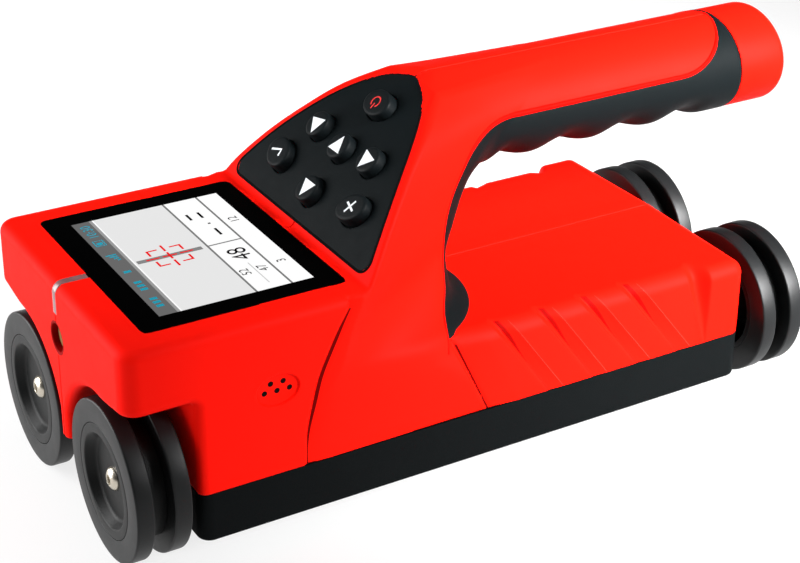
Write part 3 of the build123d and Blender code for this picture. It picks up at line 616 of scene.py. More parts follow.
def oval(a: Array, b: Array, semi_a: float, semi_b: float) -> Array:
    """Distance to an oval: k(k - 1)/g, with k the scaled radius and g its slope."""
    k = np.hypot(a / semi_a, b / semi_b)
    return k * (k - 1) / np.maximum(np.hypot(a / semi_a**2, b / semi_b**2), 1e-6)


def slope_of(form: Form, points: Array, nudge: float = 0.05) -> Array:
    """Gradient of a form by central differences.

    Args:
        form: signed distance as a function of x, y and z.
        points: places, one row each.
        nudge: half the step between the two samples.

    Returns:
        The gradient, one row for each place.
    """
    steps = np.eye(3) * nudge
    rises = [form(*(points + step).T) - form(*(points - step).T) for step in steps]
    return np.stack(rises, axis=1) / (2 * nudge)


def settle(form: Form, points: Array, rounds: int = 4, reach: float = 0.3) -> Array:
    """Move points onto the skin of a form by Newton steps along its gradient.

    Args:
        form: signed distance.
        points: places near the skin.
        rounds: number of steps.
        reach: longest step.

    Returns:
        The places on the skin.
    """
    for _ in range(rounds):
        slope = slope_of(form, points)
        size = np.maximum(np.linalg.norm(slope, axis=1), 1e-3)
        move = np.clip(form(*points.T) / size, -reach, reach) / size
        points = points - move[:, None] * slope
    return points


def skin_of(form: Form, low: Sequence[float], high: Sequence[float], step: float) -> tuple[Array, Array]:
    """Mesh the skin of a form: one point in each grid cell that it crosses, four cells to a face.

    A cell's point is the mean of where the form changes sign along the cell's edges, moved onto the
    skin; each grid edge that crosses the skin joins the points of the four cells round it.

    Args:
        form: signed distance.
        low: lowest corner of the grid.
        high: highest corner.
        step: grid spacing.

    Returns:
        The points, and the faces as rows of four point numbers that face outwards.
    """
    axes = [np.arange(a, b + step, step) for a, b in zip(low, high)]
    shape = tuple(len(a) for a in axes)
    value = form(axes[0][:, None, None], axes[1][None, :, None], axes[2][None, None, :])
    value = np.broadcast_to(value, shape).astype(np.float32)
    inside = value < 0
    corners = np.array([(i, j, k) for i in (0, 1) for j in (0, 1) for k in (0, 1)])
    cell = tuple(n - 1 for n in shape)
    count = sum(inside[i:i + cell[0], j:j + cell[1], k:k + cell[2]].astype(np.int8)
                for i, j, k in corners)
    active = (count > 0) & (count < len(corners))
    number = np.full(cell, -1)
    number[active] = np.arange(np.count_nonzero(active))
    cells = np.argwhere(active)
    total = np.zeros(cells.shape)
    hits = np.zeros(len(cells))
    for start in corners:
        for axis in np.flatnonzero(start == 0):
            end = start + np.eye(3, dtype=int)[axis]
            a, b = value[tuple((cells + start).T)], value[tuple((cells + end).T)]
            crossed = (a < 0) != (b < 0)
            t = np.where(crossed, a / np.where(crossed, a - b, 1), 0)
            total += crossed[:, None] * (start + t[:, None] * (end - start))
            hits += crossed
    points = np.asarray(low) + step * (cells + total / hits[:, None])
    faces = []
    for axis in range(3):
        first, second = (axis + 1) % 3, (axis + 2) % 3
        lower = [slice(None)] * 3
        upper = [slice(None)] * 3
        lower[axis], upper[axis] = slice(None, -1), slice(1, None)
        edge = np.argwhere(inside[tuple(lower)] != inside[tuple(upper)])
        within = [(edge[:, a] > 0) & (edge[:, a] < shape[a] - 1) for a in (first, second)]
        edge = edge[np.all(within, axis=0)]
        ring = []
        for da, db in ((-1, -1), (0, -1), (0, 0), (-1, 0)):
            at = edge.copy()
            at[:, first] += da
            at[:, second] += db
            ring.append(number[tuple(at.T)])
        quad = np.stack(ring, axis=1)
        outward = inside[tuple(edge.T)]
        faces.append(np.where(outward[:, None], quad, quad[:, ::-1]))
    return settle(form, points), np.concatenate(faces)


@dataclass
class Surface:
    """Points in mm with faces: rows of four, and flat ends as rings of any length."""

    points: Array
    quads: Array
    ends: list[Array] = field(default_factory=list)

    def __add__(self, other: "Surface") -> "Surface":
        """The two surfaces as one, the second one's numbers moved up.

        Args:
            other: the second surface.

        Returns:
            The whole.
        """
        lift = len(self.points)
        return Surface(np.concatenate([self.points, other.points]),
                       np.concatenate([self.quads, other.quads + lift]),
                       self.ends + [ring + lift for ring in other.ends])

    def mirrored(self) -> "Surface":
        """The surface on the other side of Y, its faces turned to match."""
        ends = [ring[::-1] for ring in self.ends]
        return Surface(self.points * (1, -1, 1), self.quads[:, ::-1], ends)


def joined(surfaces: Sequence[Surface]) -> Surface:
    """Several surfaces as one."""
    return sum(surfaces[1:], surfaces[0])


def rings(rows: Array, closed: bool = False, ends: bool = True) -> Surface:
    """A skin over rings of points: each ring is joined to the next and closes on itself.

    Args:
        rows: points as ring, place round the ring, coordinate.
        closed: whether the last ring joins the first.
        ends: whether the first and last ring are filled flat.

    Returns:
        The surface.
    """
    count, around = rows.shape[:2]
    grid = np.arange(count * around).reshape(count, around)
    below = grid if closed else grid[:-1]
    above = np.roll(grid, -1, axis=0) if closed else grid[1:]
    quads = np.stack([below, np.roll(below, -1, axis=1), np.roll(above, -1, axis=1), above], axis=-1)
    caps = [] if closed or not ends else [grid[0][::-1], grid[-1]]
    return Surface(rows.reshape(-1, 3), quads.reshape(-1, 4), caps)


def eased_loop(corners: Sequence[Pair], radius: Sequence[float] | float, steps: int = 5) -> Array:
    """A closed outline with each corner replaced by a parabola from one side to the next.

    Args:
        corners: corner points in order.
        radius: how far along its sides each corner's curve starts, at most SIDE_SHARE of a side.
        steps: points on each curve.

    Returns:
        The outline's points.
    """
    p = np.asarray(corners, float)
    reach = np.broadcast_to(np.asarray(radius, float), len(p))[:, None]
    arms = [np.roll(p, shift, axis=0) - p for shift in (1, -1)]
    sizes = [np.maximum(np.linalg.norm(a, axis=1, keepdims=True), 1e-9) for a in arms]
    start, end = (p + a * np.minimum(reach / s, SIDE_SHARE) for a, s in zip(arms, sizes))
    t = np.linspace(0, 1, steps)[None, :, None]
    curve = (1 - t)**2 * start[:, None] + 2 * t * (1 - t) * p[:, None] + t**2 * end[:, None]
    return curve.reshape(-1, 2)


def turned(outline: Array, axle_y: float, axle_z: float, steps: int = 128) -> Surface:
    """A closed outline of station and radius carried round a line along X.

    Args:
        outline: rows of station along X and radius.
        axle_y: Y of the line.
        axle_z: Z of the line.
        steps: places round the turn.

    Returns:
        The closed surface.
    """
    angle = circle(steps)
    y = axle_y + outline[:, 1:] * np.cos(angle)
    z = axle_z + outline[:, 1:] * np.sin(angle)
    return rings(np.stack([np.broadcast_to(outline[:, :1], y.shape), y, z], axis=-1), closed=True)


def oval_rings(centre: Pair, semi: Pair, scale: Row, y: Array, steps: int) -> Surface:
    """Level oval rings in X and Z, each of its own size and at its own Y.

    Args:
        centre: X and Z of their middle.
        semi: half sizes along X and Z at a scale of one.
        scale: size of each ring.
        y: Y of each ring.
        steps: points on each ring.

    Returns:
        The skin over the rings.
    """
    grow, angle = np.array(scale)[:, None], circle(steps)
    x = centre[0] + grow * semi[0] * np.cos(angle)
    z = centre[1] + grow * semi[1] * np.sin(angle)
    return rings(np.stack([x, np.broadcast_to(y[:, None], x.shape), z], axis=-1))


def ribbon(path: Array, width: float) -> Surface:
    """A flat strip along a path in two coordinates: its points moved half the width to both sides.

    The move is square to the path's direction at the point, at a corner the mean of both sides'.

    Args:
        path: rows of the path's points.
        width: width of the strip.

    Returns:
        The strip in the plane of its first two coordinates.
    """
    run = np.gradient(path, axis=0)
    run /= np.linalg.norm(run, axis=1, keepdims=True)
    across = np.stack([-run[:, 1], run[:, 0]], axis=1) * width / 2
    rows = np.stack([path + across, path - across], axis=1)
    flat = np.concatenate([rows, np.zeros((*rows.shape[:2], 1))], axis=2)
    grid = np.arange(2 * len(path)).reshape(-1, 2)
    quads = np.stack([grid[:-1, 0], grid[:-1, 1], grid[1:, 1], grid[1:, 0]], axis=1)
    return Surface(flat.reshape(-1, 3), quads)


def put_mesh(name: str, surface: Surface, finish: Finish, body: str, stands_for: Sequence[str] = (),
             sharp: float = 32.0, form: Form | None = None, turn: bool = True) -> bpy.types.Object:
    """Make a piece from a surface, dress it and fix it to its body.

    Args:
        name: the piece's name.
        surface: its skin in mm.
        finish: its finish.
        body: the body it moves with.
        stands_for: nodes of the solids that it replaces.
        sharp: faces that meet at a larger angle, in degrees, keep a sharp edge.
        form: where given, the skin's normals are this form's gradient.
        turn: whether faces are made to point outwards; not for open skins.

    Returns:
        The piece.
    """
    mesh = bpy.data.meshes.new(name)
    around = [len(ring) for ring in surface.ends]
    sizes = np.concatenate([np.full(len(surface.quads), 4), around]).astype(int)
    corners = np.concatenate([surface.quads.ravel(), *surface.ends]).astype(int)
    mesh.vertices.add(len(surface.points))
    places = (surface.points - (CENTRE, 0, 0)) * MM
    mesh.vertices.foreach_set("co", places.astype(np.float32).ravel())
    mesh.loops.add(len(corners))
    mesh.loops.foreach_set("vertex_index", corners)
    mesh.polygons.add(len(sizes))
    mesh.polygons.foreach_set("loop_start", np.concatenate([[0], np.cumsum(sizes)[:-1]]))
    mesh.polygons.foreach_set("use_smooth", np.ones(len(sizes), bool))
    mesh.update(calc_edges=True)
    mesh.validate()
    if turn and form is None:
        solid = bmesh.new()
        solid.from_mesh(mesh)
        bmesh.ops.remove_doubles(solid, verts=solid.verts, dist=WELD)
        bmesh.ops.recalc_face_normals(solid, faces=solid.faces)
        solid.to_mesh(mesh)
        solid.free()
    if form is None:
        mesh.set_sharp_from_angle(angle=np.radians(sharp))
    else:
        normals = slope_of(form, surface.points, NORMAL_STEP)
        normals /= np.maximum(np.linalg.norm(normals, axis=1, keepdims=True), 1e-9)
        mesh.normals_split_custom_set_from_vertices(normals)
    mesh.materials.append(finish.material())
    piece = bpy.data.objects.new(name, mesh)
    bpy.context.scene.collection.objects.link(piece)
    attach(piece, body)
    if stands_for:
        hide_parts(*stands_for)
    log.info("%s: %d points, %d faces", name, len(mesh.vertices), len(mesh.polygons))
    return piece


@dataclass
class CaseForm:
    """The outer form of the case as signed distances: head, leg, handle and rear body.

    The leg is a wedge in plan whose front and rear stations, half widths and rear corner radius
    change with height; the other forms are boxes and an oval bar. A pair of places is where a change
    starts and where it is complete.
    """

    # The whole case.
    front_x: float = -133.3
    rear_x: float = 96.6
    ring_x: float = 114.8
    split_z: float = 25.25
    half: float = 52.86
    wall: float = 2.4
    search: float = 8.0
    # Rear body: deck, leaning panel, corner scoop and ribs.
    deck_z: float = 54.0
    deck_fall: float = 0.02
    deck_edge: float = 5.0
    deck_fill: float = 1.0
    rear_corner: float = 4.5
    lean: float = 3.2
    lean_end: Pair = (75.5, 81.5)
    scoop: float = 2.6
    scoop_x: float = 80.1
    scoop_lean: float = 3.0
    scoop_half: Pair = (0.6, 4.0)
    scoop_power: float = 1.5
    rib: float = 2.6
    rib_foot: float = 0.06
    rib_tops: Row = (-7.0, 10.4, 27.3, 44.6)
    rib_feet: Row = (14.3, 32.2, 50.3, 67.5)
    rib_foot_z: float = 26.0
    rib_rise: float = 30.0
    rib_cos: float = 0.8
    rib_long: float = 5.0
    rib_edge: float = 0.7
    # Head, and the line where it ends on the flank.
    head_z: float = 79.3
    head_edge: float = 3.4
    head_corner: float = 6.0
    head_step: float = 1.9
    head_foot: float = 0.3
    head_deepen: Pair = (26.0, 48.0)
    head_cos: float = 0.93
    head_lip: float = 0.7
    head_fade: float = 8.0
    head_fill: float = 0.35
    head_line_z: Row = (25.0, 36.5, 47.0, 55.0, 62.0, 68.5, 75.0, 81.0)
    head_line_x: Row = (-75.2, -74.9, -72.9, -70.7, -67.6, -64.4, -60.6, -57.5)
    # Room for the front wheels.
    well_x: float = -110.8
    well_edge: float = 2.0
    arch_r: float = 29.0
    arch_edge: float = 3.0
    post: float = 3.6
    roof_z: float = 57.5
    # Keypad slope.
    slope_mid: Pair = (-28.8, 101.7)
    slope_angle: float = 42.9
    slope_sag: float = 3.0
    slope_r: float = 160.1
    slope_fill: float = 0.8
    # Handle and its finger hollows.
    handle_y: float = 20.6
    handle_r: float = 17.4
    handle_z: float = 106.9
    handle_edge: float = 1.2
    handle_start: float = -45.0
    handle_fill: Pair = (2.0, 5.0)
    handle_fill_z: Pair = (96.0, 108.0)
    finger: float = 2.95
    finger_x: float = 19.2
    finger_pitch: float = 25.2
    finger_power: float = 0.8
    finger_under: Pair = (0.15, 0.8)
    finger_in: Pair = (12.0, 20.0)
    finger_out: Pair = (98.0, 108.0)
    # Leg: its step to the panel, then its sizes by height.
    leg_step: float = 1.8
    leg_foot: float = 0.25
    leg_line_x: float = -11.0
    leg_line_z: float = 29.0
    leg_line_lean: float = 0.452
    leg_cos: float = 0.91
    leg_fade: float = 11.0
    leg_lip: float = 0.8
    leg_lip_z: float = 51.5
    leg_edge: float = 1.7
    leg_start: float = -85.0
    leg_in: float = 0.05
    body_tuck: float = 2.0
    leg_z: Row = (25.0, 40.0, 47.0, 53.5, 57.0, 62.0, 68.0, 80.0, 92.0, 104.0, 114.0, 122.0)
    leg_front: Row = (-78, -72, -66, -62, -60.8, -59.5, -57.8, -52.8, -42.8, -29.8, -17.8, -5.8)
    leg_front_half: Row = (52.8, 52.8, 52.7, 52.6, 52.5, 52.4, 52.3, 52.1, 45.3, 35.7, 26.6, 15)
    leg_rear: Row = (12, 9, 6, 2.4, -3.6, -5.0, -4.5, -0.5, 5.0, 14.2, 29.2, 44.2)
    leg_rear_half: Row = (52.3, 51.6, 50.0, 46.0, 39.5, 31.5, 26.0, 22.2, 20.6, 20.1, 16.5, 8.5)
    leg_round: Row = (20, 30, 36, 35, 26, 17, 13, 9.5, 8.5, 8.5, 8, 5)
    # Edge of the rubber: up the leg and along the handle, then round the tongue.
    border_z: Row = (48, 53, 55.5, 57.6, 60.1, 62.7, 66.5, 71.3, 76.9, 81.7, 86.3, 90.2, 94.6, 98.7, 102.8,
                     106.4, 108.6, 109.8, 110.7, 111.2, 111.3)
    border_x: Row = (-22.5, -21.3, -20.2, -18.3, -15.9, -13.6, -12.3, -12, -12.2, -11.7, -10.5, -8.9, -6.6,
                     -4.1, -1.4, 2.4, 5.8, 8.6, 11.6, 14.6, 18)
    border_steps: int = 70
    tip_z: Row = (111.4, 111.9, 112.8, 114.2, 116.2, 118.6, 120.6, 122.3, 123.4, 124.2, 124.6)
    tip_x: Row = (90.5, 94.0, 97.0, 100.0, 103.3, 106.4, 108.6, 110.4, 111.7, 112.9, 113.5)
    tip_steps: int = 30

    def slope_frame(self, x: Array, z: Array) -> tuple[Array, Array]:
        """Place along the keypad slope and height over its chord."""
        return spun(x - self.slope_mid[0], z - self.slope_mid[1], -self.slope_angle)

    def slope_point(self, u: Array | float, v: Array, n: Array | float) -> Array:
        """World place of u along the slope, v across it and n over its chord."""
        dx, dz = spun(u, n, self.slope_angle)
        return np.stack(np.broadcast_arrays(self.slope_mid[0] + dx, v, self.slope_mid[1] + dz), axis=-1)

    def arch(self, u: Array | float) -> Array:
        """Height of the slope's gentle arch over its chord, part of a circle."""
        return self.slope_sag - self.slope_r + np.sqrt(self.slope_r**2 - np.asarray(u, float)**2)

    def over_slope(self, x: Array, z: Array) -> Array:
        """Distance above the slope's arch."""
        u, n = self.slope_frame(x, z)
        return np.hypot(u, n + self.slope_r - self.slope_sag) - self.slope_r

    def head_line(self, z: Array) -> Array:
        """X of the line where the head ends on the flank."""
        return through(self.head_line_z, self.head_line_x, z)

    def leg_line(self, z: Array) -> Array:
        """X of the line where the flank ends and the ribbed panel starts."""
        return self.leg_line_x - self.leg_line_lean * (z - self.leg_line_z)

    def rib_lines(self, z: Array) -> list[Array]:
        """X of each rib's step: straight from its foot to its top."""
        up = (z - self.rib_foot_z) / self.rib_rise
        return [foot + (top - foot) * up for top, foot in zip(self.rib_tops, self.rib_feet)]

    def rise(self, z: Array) -> Array:
        """Share of the way up from the parting line to the deck."""
        return np.clip((z - self.split_z) / (self.deck_z - self.split_z), 0, 1)

    def head_sunk(self, z: Array) -> Array:
        """Depth of the flank below the head's side, at the head line."""
        return self.head_step * (self.head_foot + (1 - self.head_foot) * span(z, *self.head_deepen))

    def leg_sunk(self, z: Array) -> Array:
        """Depth of the ribbed panel below the flank, at the leg line."""
        return self.leg_step * (self.leg_foot + (1 - self.leg_foot) * self.rise(z))

    def rib_sunk(self, z: Array) -> Array:
        """Depth of each rib's step."""
        return self.rib * (self.rib_foot + (1 - self.rib_foot) * self.rise(z))

    def rear_body(self, x: Array, y: Array, z: Array) -> Array:
        """Rear body: a box with crowned deck, leaning panel, saw-tooth ribs and a corner scoop.

        Args:
            x, y, z: places.

        Returns:
            The signed distance.
        """
        across = np.abs(y)
        rise = self.rise(z)
        cut = self.lean * rise * (1 - span(x, *self.lean_end))
        wide = self.scoop_half[0] + self.scoop_half[1] * rise
        hollow = (x - self.scoop_x + self.scoop_lean * rise) / wide
        cut = cut + self.scoop * rise * np.clip(1 - hollow**2, 0, 1)**self.scoop_power
        for line in self.rib_lines(z):
            behind = self.rib_cos * (x - line)
            fall = np.clip(1 - behind / self.rib_long, 0, 1)
            cut = cut + self.rib_sunk(z) * fall * span(behind, -self.rib_edge, self.rib_edge)
        past = self.leg_cos * (x - self.leg_line(z))
        cut = cut + self.leg_sunk(z) * np.clip(1 - past / self.leg_fade, 0, 1)
        side = across - (self.half - cut)
        outline = both(np.maximum(x - self.rear_x, -self.body_tuck - past), side, self.rear_corner)
        return both(outline, z - (self.deck_z - self.deck_fall * across), self.deck_edge)

    def head(self, x: Array, y: Array, z: Array) -> Array:
        """Display head: a box with rounded front corners and top edge, ending at the head line.

        Args:
            x, y, z: places.

        Returns:
            The signed distance.
        """
        outline = both(self.front_x - x, np.abs(y) - self.half, self.head_corner)
        outline = both(outline, self.head_cos * (x - self.head_line(z)), self.head_lip)
        return both(outline, z - self.head_z, self.head_edge)

    def leg(self, x: Array, y: Array, z: Array) -> Array:
        """Leg and flank: a wedge with sides ruled between its front and rear half widths.

        Args:
            x, y, z: places.

        Returns:
            The signed distance, with the keypad slope and the strip before it as its top.
        """
        front, wide, rear, slim, corner = (through(self.leg_z, values, z) for values in (
            self.leg_front, self.leg_front_half, self.leg_rear, self.leg_rear_half, self.leg_round))
        taper = (slim - wide) / (rear - front)
        past = self.head_cos * (x - self.head_line(z))
        sunk = self.head_sunk(z) * np.clip(1 - past / self.head_fade, 0, 1)**2
        width = np.minimum(wide + taper * (x - front), self.half - self.leg_in) - sunk
        side = (np.abs(y) - width) / np.sqrt(1 + taper**2)
        outline = both(side, x - rear, corner)
        outline = np.where(z < self.leg_lip_z, both(outline, x - self.leg_line(z), self.leg_lip), outline)
        top = either(self.over_slope(x, z), z - self.head_z, self.slope_fill)
        top = np.maximum(top, z - self.leg_z[-1])
        return np.maximum(both(outline, top, self.leg_edge), self.leg_start - x)

    def handle(self, x: Array, y: Array, z: Array) -> Array:
        """Oval handle bar, with the finger hollows as a cosine wave along its underside.

        Args:
            x, y, z: places.

        Returns:
            The signed distance.
        """
        bar = oval(y, z - self.handle_z, self.handle_y, self.handle_r)
        under = span((self.handle_z - z) / self.handle_r, *self.finger_under)
        wave = 1 - (0.5 - 0.5 * np.cos(TURN * (x - self.finger_x) / self.finger_pitch))**self.finger_power
        shown = span(x, *self.finger_in) * (1 - span(x, *self.finger_out))
        bar = bar + self.finger * under * wave * shown
        return np.maximum(both(bar, self.over_slope(x, z), self.handle_edge), self.handle_start - x)

    def border(self) -> Array:
        """Side view of the rubber's edge: up the leg, along the handle and round the red tongue.

        Returns:
            Rows of X and Z, border_steps up to the tongue and tip_steps round it.
        """
        parts = []
        for xs, zs, steps in ((self.border_x, self.border_z, self.border_steps),
                              (self.tip_x, self.tip_z, self.tip_steps)):
            knots = np.arange(len(zs))
            along = np.linspace(0, knots[-1], steps)
            parts.append(np.stack([through(knots, values, along) for values in (xs, zs)], axis=1))
        return np.concatenate(parts)

    def grip_zone(self, x: Array, z: Array) -> Array:
        """Distance, seen from the side, to the part that the rubber covers.

        Args:
            x, z: places.

        Returns:
            The distance to the nearest stretch of the border, negative behind it.
        """
        path = self.border()
        leg, tip = path[:self.border_steps], path[self.border_steps:]
        low, high = (np.interp(z, part[:, 1], part[:, 0]) for part in (leg, tip))
        edge = np.where(z < leg[-1, 1], low, high)
        start, run = path[:-1], np.diff(path, axis=0)
        dx, dz = x[..., None] - start[:, 0], z[..., None] - start[:, 1]
        t = np.clip((dx * run[:, 0] + dz * run[:, 1]) / np.sum(run**2, axis=1), 0, 1)
        away = np.hypot(dx - t * run[:, 0], dz - t * run[:, 1]).min(axis=-1)
        return np.where(x > edge, -away, away)

    def upper(self, x: Array, y: Array, z: Array, dip: Array | float = 0.0) -> Array:
        """Leg and handle as one, the corner under the handle filled, moved in by dip."""
        fill = self.handle_fill[0] + self.handle_fill[1] * (1 - span(z, *self.handle_fill_z))
        return either(self.leg(x, y, z), self.handle(x, y, z), fill) + dip

    def wells(self, x: Array, y: Array, z: Array) -> Array:
        """Room for the front wheels: a round arch each side of a middle post, open below and outside.

        Args:
            x, y, z: places.

        Returns:
            The signed distance.
        """
        across = np.abs(y)
        arch = np.hypot(across - AXLE_Y, z - AXLE_Z) - self.arch_r
        top = AXLE_Z + self.arch_r
        roof = z - top - (self.roof_z - top) * span(across, AXLE_Y, self.half)
        room = np.minimum(np.minimum(arch, z - AXLE_Z), np.maximum(AXLE_Y - across, roof))
        return both(np.maximum(room, self.post - across), x - self.well_x, self.well_edge)

    def outer(self, x: Array, y: Array, z: Array, dip: Array | float = 0.0) -> Array:
        """The whole case outside.

        Args:
            x, y, z: places.
            dip: how far the upper part is moved in, under the rubber.

        Returns:
            The signed distance.
        """
        high = np.maximum(self.upper(x, y, z, dip), x - self.ring_x)
        whole = either(high, self.rear_body(x, y, z), self.deck_fill)
        whole = either(whole, self.head(x, y, z), self.head_fill)
        return both(whole, -self.wells(x, y, z), self.arch_edge)

    def side_y(self, x: Array, z: Array) -> Array:
        """Y of the left skin at a place seen from the side, by halving an interval.

        Args:
            x, z: places.

        Returns:
            Y of the skin.
        """
        out, deep = np.full(x.shape, -self.half - self.search), np.zeros(x.shape)
        for _ in range(HALVINGS):
            mid = (out + deep) / 2
            empty = self.outer(x, mid, z) > 0
            out, deep = np.where(empty, mid, out), np.where(empty, deep, mid)
        return (out + deep) / 2


@dataclass
class CaseShells:
    """The two red case halves with their openings, and the trim set into them, painted shade and highlight
    strips among it.
    """

    form: CaseForm
    # Grid and parting lines.
    step: float = 0.72
    low: Place = (-134.6, -54.0, 24.2)
    high: Place = (116.4, 0.6, 126.0)
    part_x: float = 10.0
    seam: float = 0.04
    seam_edge: float = 0.3
    foot_edge: float = 0.35
    # Bed of the rubber.
    under_grip: float = 2.0
    grip_edge: Pair = (0.3, 1.6)
    grip_foot: Pair = (52.0, 53.0)
    # Openings for display and keypad.
    tuck: float = 0.8
    lens_x: Pair = (-122.15, -54.9)
    lens_half: float = 42.96
    lens_room: float = 8.0
    mat_u: Row = (-31.0, -22.0, -10.0, 0.0, 10.0, 18.0, 25.0, 32.5)
    mat_v: Row = (48.0, 44.0, 38.2, 32.7, 26.55, 20.5, 13.8, 3.0)
    mat_cos: float = 0.86
    mat_ends: Pair = (-30.6, 31.8)
    mat_corner: float = 6.0
    mat_room: float = 5.0
    # Battery bore, indicator slot, laser hole and axle holes.
    bore: Pair = (16.2, 12.4)
    bore_z: float = 107.5
    bore_start: float = 60.0
    guide_half: float = 1.2
    guide_foot: float = 69.5
    guide_end: float = -121.0
    laser_z: float = 60.5
    laser_r: float = 4.65
    laser_gap: float = 0.4
    laser_end: float = -120.0
    rim_wide: float = 1.3
    rim_deep: float = 4.0
    rim_edge: float = 0.5
    rim_steps: int = 72
    proud: float = 0.03
    axle_hole: float = 6.6
    axle_walls: Pair = (-105.0, 90.0)
    # Speaker.
    speaker: Pair = (-84.3, 54.7)
    speaker_semi: Pair = (7.5, 5.5)
    speaker_gap: float = 0.3
    speaker_wall: float = -45.0
    grille: float = 0.9
    grille_scale: Row = (1.14, 1.14, 1.06, 1.0, 0.97, 0.955, 0.93, 0.88, 0.001)
    grille_depth: Row = (2.0, -0.03, -0.04, 0.0, 0.2, 0.55, 0.8)
    grille_steps: int = 80
    hole_pitch: float = 4.2
    hole_rows: Pair = (-0.5, 2.3)
    hole_radius: Row = (0.95, 0.9, 0.86, 0.001)
    hole_depth: Row = (0.3, -0.02, -0.02, -0.015)
    hole_steps: int = 28
    # Case screws.
    screws: tuple[Pair, ...] = ((-101.0, 65.0), (-20.0, 68.0), (90.6, 43.0))
    screw_r: float = 3.0
    screw_gap: float = 0.5
    screw_wall: float = 15.0
    screw_y: float = 12.2
    cup_grow: Row = (0.0, 0.0, 0.25, 1.3, 1.3, 0.6)
    cup_lift: Row = (-0.4, 0.02, 0.03, -1.4)
    cup_steps: int = 48
    # Bead along the rubber.
    bead: float = 0.9
    bead_slim: float = 0.45
    bead_sunk: float = 0.45
    bead_full: Pair = (92.0, 108.0)
    bead_end: Pair = (117.0, 123.0)
    bead_clear: float = 0.05
    bead_around: int = 14
    bead_steps: int = 420
    bead_ease: int = 6
    bead_nudge: float = 0.6
    # Painted shade lines and wedge strips, and painted highlight strips on each rib's ridge.
    crease: float = 0.36
    crease_foot: float = 0.3
    crease_top: float = 4.0
    crease_widen: Pair = (28.0, 48.0)
    crease_end: Pair = (66.0, 75.0)
    groove_steps: int = 60
    panel_steps: int = 40
    shade: float = 0.62
    rib_gap: float = 0.8
    rib_thin: float = 0.06
    rib_widen: Pair = (36.0, 51.0)
    rib_foot: float = 0.6
    rib_top: float = 2.0
    rib_bunch: float = 0.7
    rib_steps: int = 60
    ridge: float = 0.1
    ridge_back: float = 6.2
    lift: float = 0.07
    strip_back: float = 0.5
    strip_across: int = 9
    strip_sharp: float = 50.0

    def mat_half(self, u: Array) -> Array:
        """Half width of the keypad mat along the slope."""
        return through(self.mat_u, self.mat_v, u)

    def mat_edge(self, x: Array, y: Array, z: Array, grow: float) -> Array:
        """Distance, in the plane of the slope, to the mat's rounded outline.

        Args:
            x, y, z: places.
            grow: how far the outline is moved out.

        Returns:
            The signed distance.
        """
        u, _ = self.form.slope_frame(x, z)
        foot, top = self.mat_ends
        side = self.mat_cos * (np.abs(y) - self.mat_half(u)) - grow
        return both(both(side, u - top - grow, self.mat_corner), foot - u - grow, self.mat_corner)

    def half(self, side: Side) -> Form:
        """Signed distance of one half: a wall inside the case's skin, on one side of the parting line.

        Args:
            side: which half.

        Returns:
            The distance as a function of place.
        """
        f = self.form

        def distance(x: Array, y: Array, z: Array) -> Array:
            """The wall, less each opening in it.

            Args:
                x, y, z: places.

            Returns:
                The signed distance.
            """
            across = np.abs(y)
            dip = self.under_grip * span(-f.grip_zone(x, z), *self.grip_edge) * span(z, *self.grip_foot)
            skin = f.outer(x, y, z, dip)
            shell = both(np.maximum(skin, -skin - f.wall), f.split_z - z, self.foot_edge)
            axle = np.hypot(across - AXLE_Y, z - AXLE_Z) - self.axle_hole
            cuts = [
                overlap(oval(y, z - self.bore_z, *self.bore), self.bore_start - x),
                overlap(self.lens_x[0] + self.tuck - x, x - self.lens_x[1] + self.tuck,
                        across - self.lens_half + self.tuck, f.head_z - self.lens_room - z),
                overlap(self.mat_edge(x, y, z, -self.tuck), -self.mat_room - f.over_slope(x, z)),
                overlap(across - self.guide_half, self.guide_foot - z, x - self.guide_end),
                overlap(np.hypot(y, z - self.laser_z) - self.laser_r - self.laser_gap, x - self.laser_end),
                overlap(axle, np.minimum(x - self.axle_walls[0], self.axle_walls[1] - x))]
            if side is Side.LEFT:
                sound = oval(x - self.speaker[0], z - self.speaker[1], *self.speaker_semi)
                cuts.append(overlap(sound - self.speaker_gap, y - self.speaker_wall))
            else:
                cup = self.screw_r + self.screw_gap
                cuts += [overlap(np.hypot(x - sx, z - sz) - cup, self.screw_wall - y)
                         for sx, sz in self.screws]
            shell = overlap(shell, *(-cut for cut in cuts))
            return both(shell, self.seam - side.value * y, self.seam_edge)

        return distance

    def build_half(self, side: Side) -> None:
        """Mesh one half and dress it as a front and a rear piece that share their seam.

        Args:
            side: which half.
        """
        form = self.half(side)
        low, high = self.low, self.high
        if side is Side.RIGHT:
            low, high = (low[0], -high[1], low[2]), (high[0], -low[1], high[2])
        points, quads = skin_of(form, low, high, self.step)
        behind = points[quads].mean(axis=1)[:, 0] > self.part_x
        for part, kept in (("front", quads[~behind]), ("rear", quads[behind])):
            used, faces = np.unique(kept, return_inverse=True)
            put_mesh(f"shell_{side.word}_{part}", Surface(points[used], faces.reshape(-1, 4)), RED,
                     Body.CASE.value, [f"shell_{side.word}"], form=form)

    def bead_line(self) -> Array:
        """Line of the bead in even steps: the border on the left skin, over the top and down the right.

        Returns:
            Its points, one row each, eased by averaging each with its neighbours.
        """
        f = self.form
        top = f.handle_z + f.handle_r
        path = f.border()
        path = path[path[:, 1] < top - self.bead_clear]
        left = np.stack([path[:, 0], f.side_y(path[:, 0], path[:, 1]), path[:, 1]], axis=1)
        line = np.concatenate([left, [[f.tip_x[-1], 0.0, top]], left[::-1] * (1, -1, 1)])
        far = np.concatenate([[0], np.cumsum(np.linalg.norm(np.diff(line, axis=0), axis=1))])
        even = np.linspace(0, far[-1], self.bead_steps)
        line = np.stack([np.interp(even, far, line[:, i]) for i in range(3)], axis=1)
        for _ in range(self.bead_ease):
            line[1:-1] = (line[:-2] + 2 * line[1:-1] + line[2:]) / 4
        return line

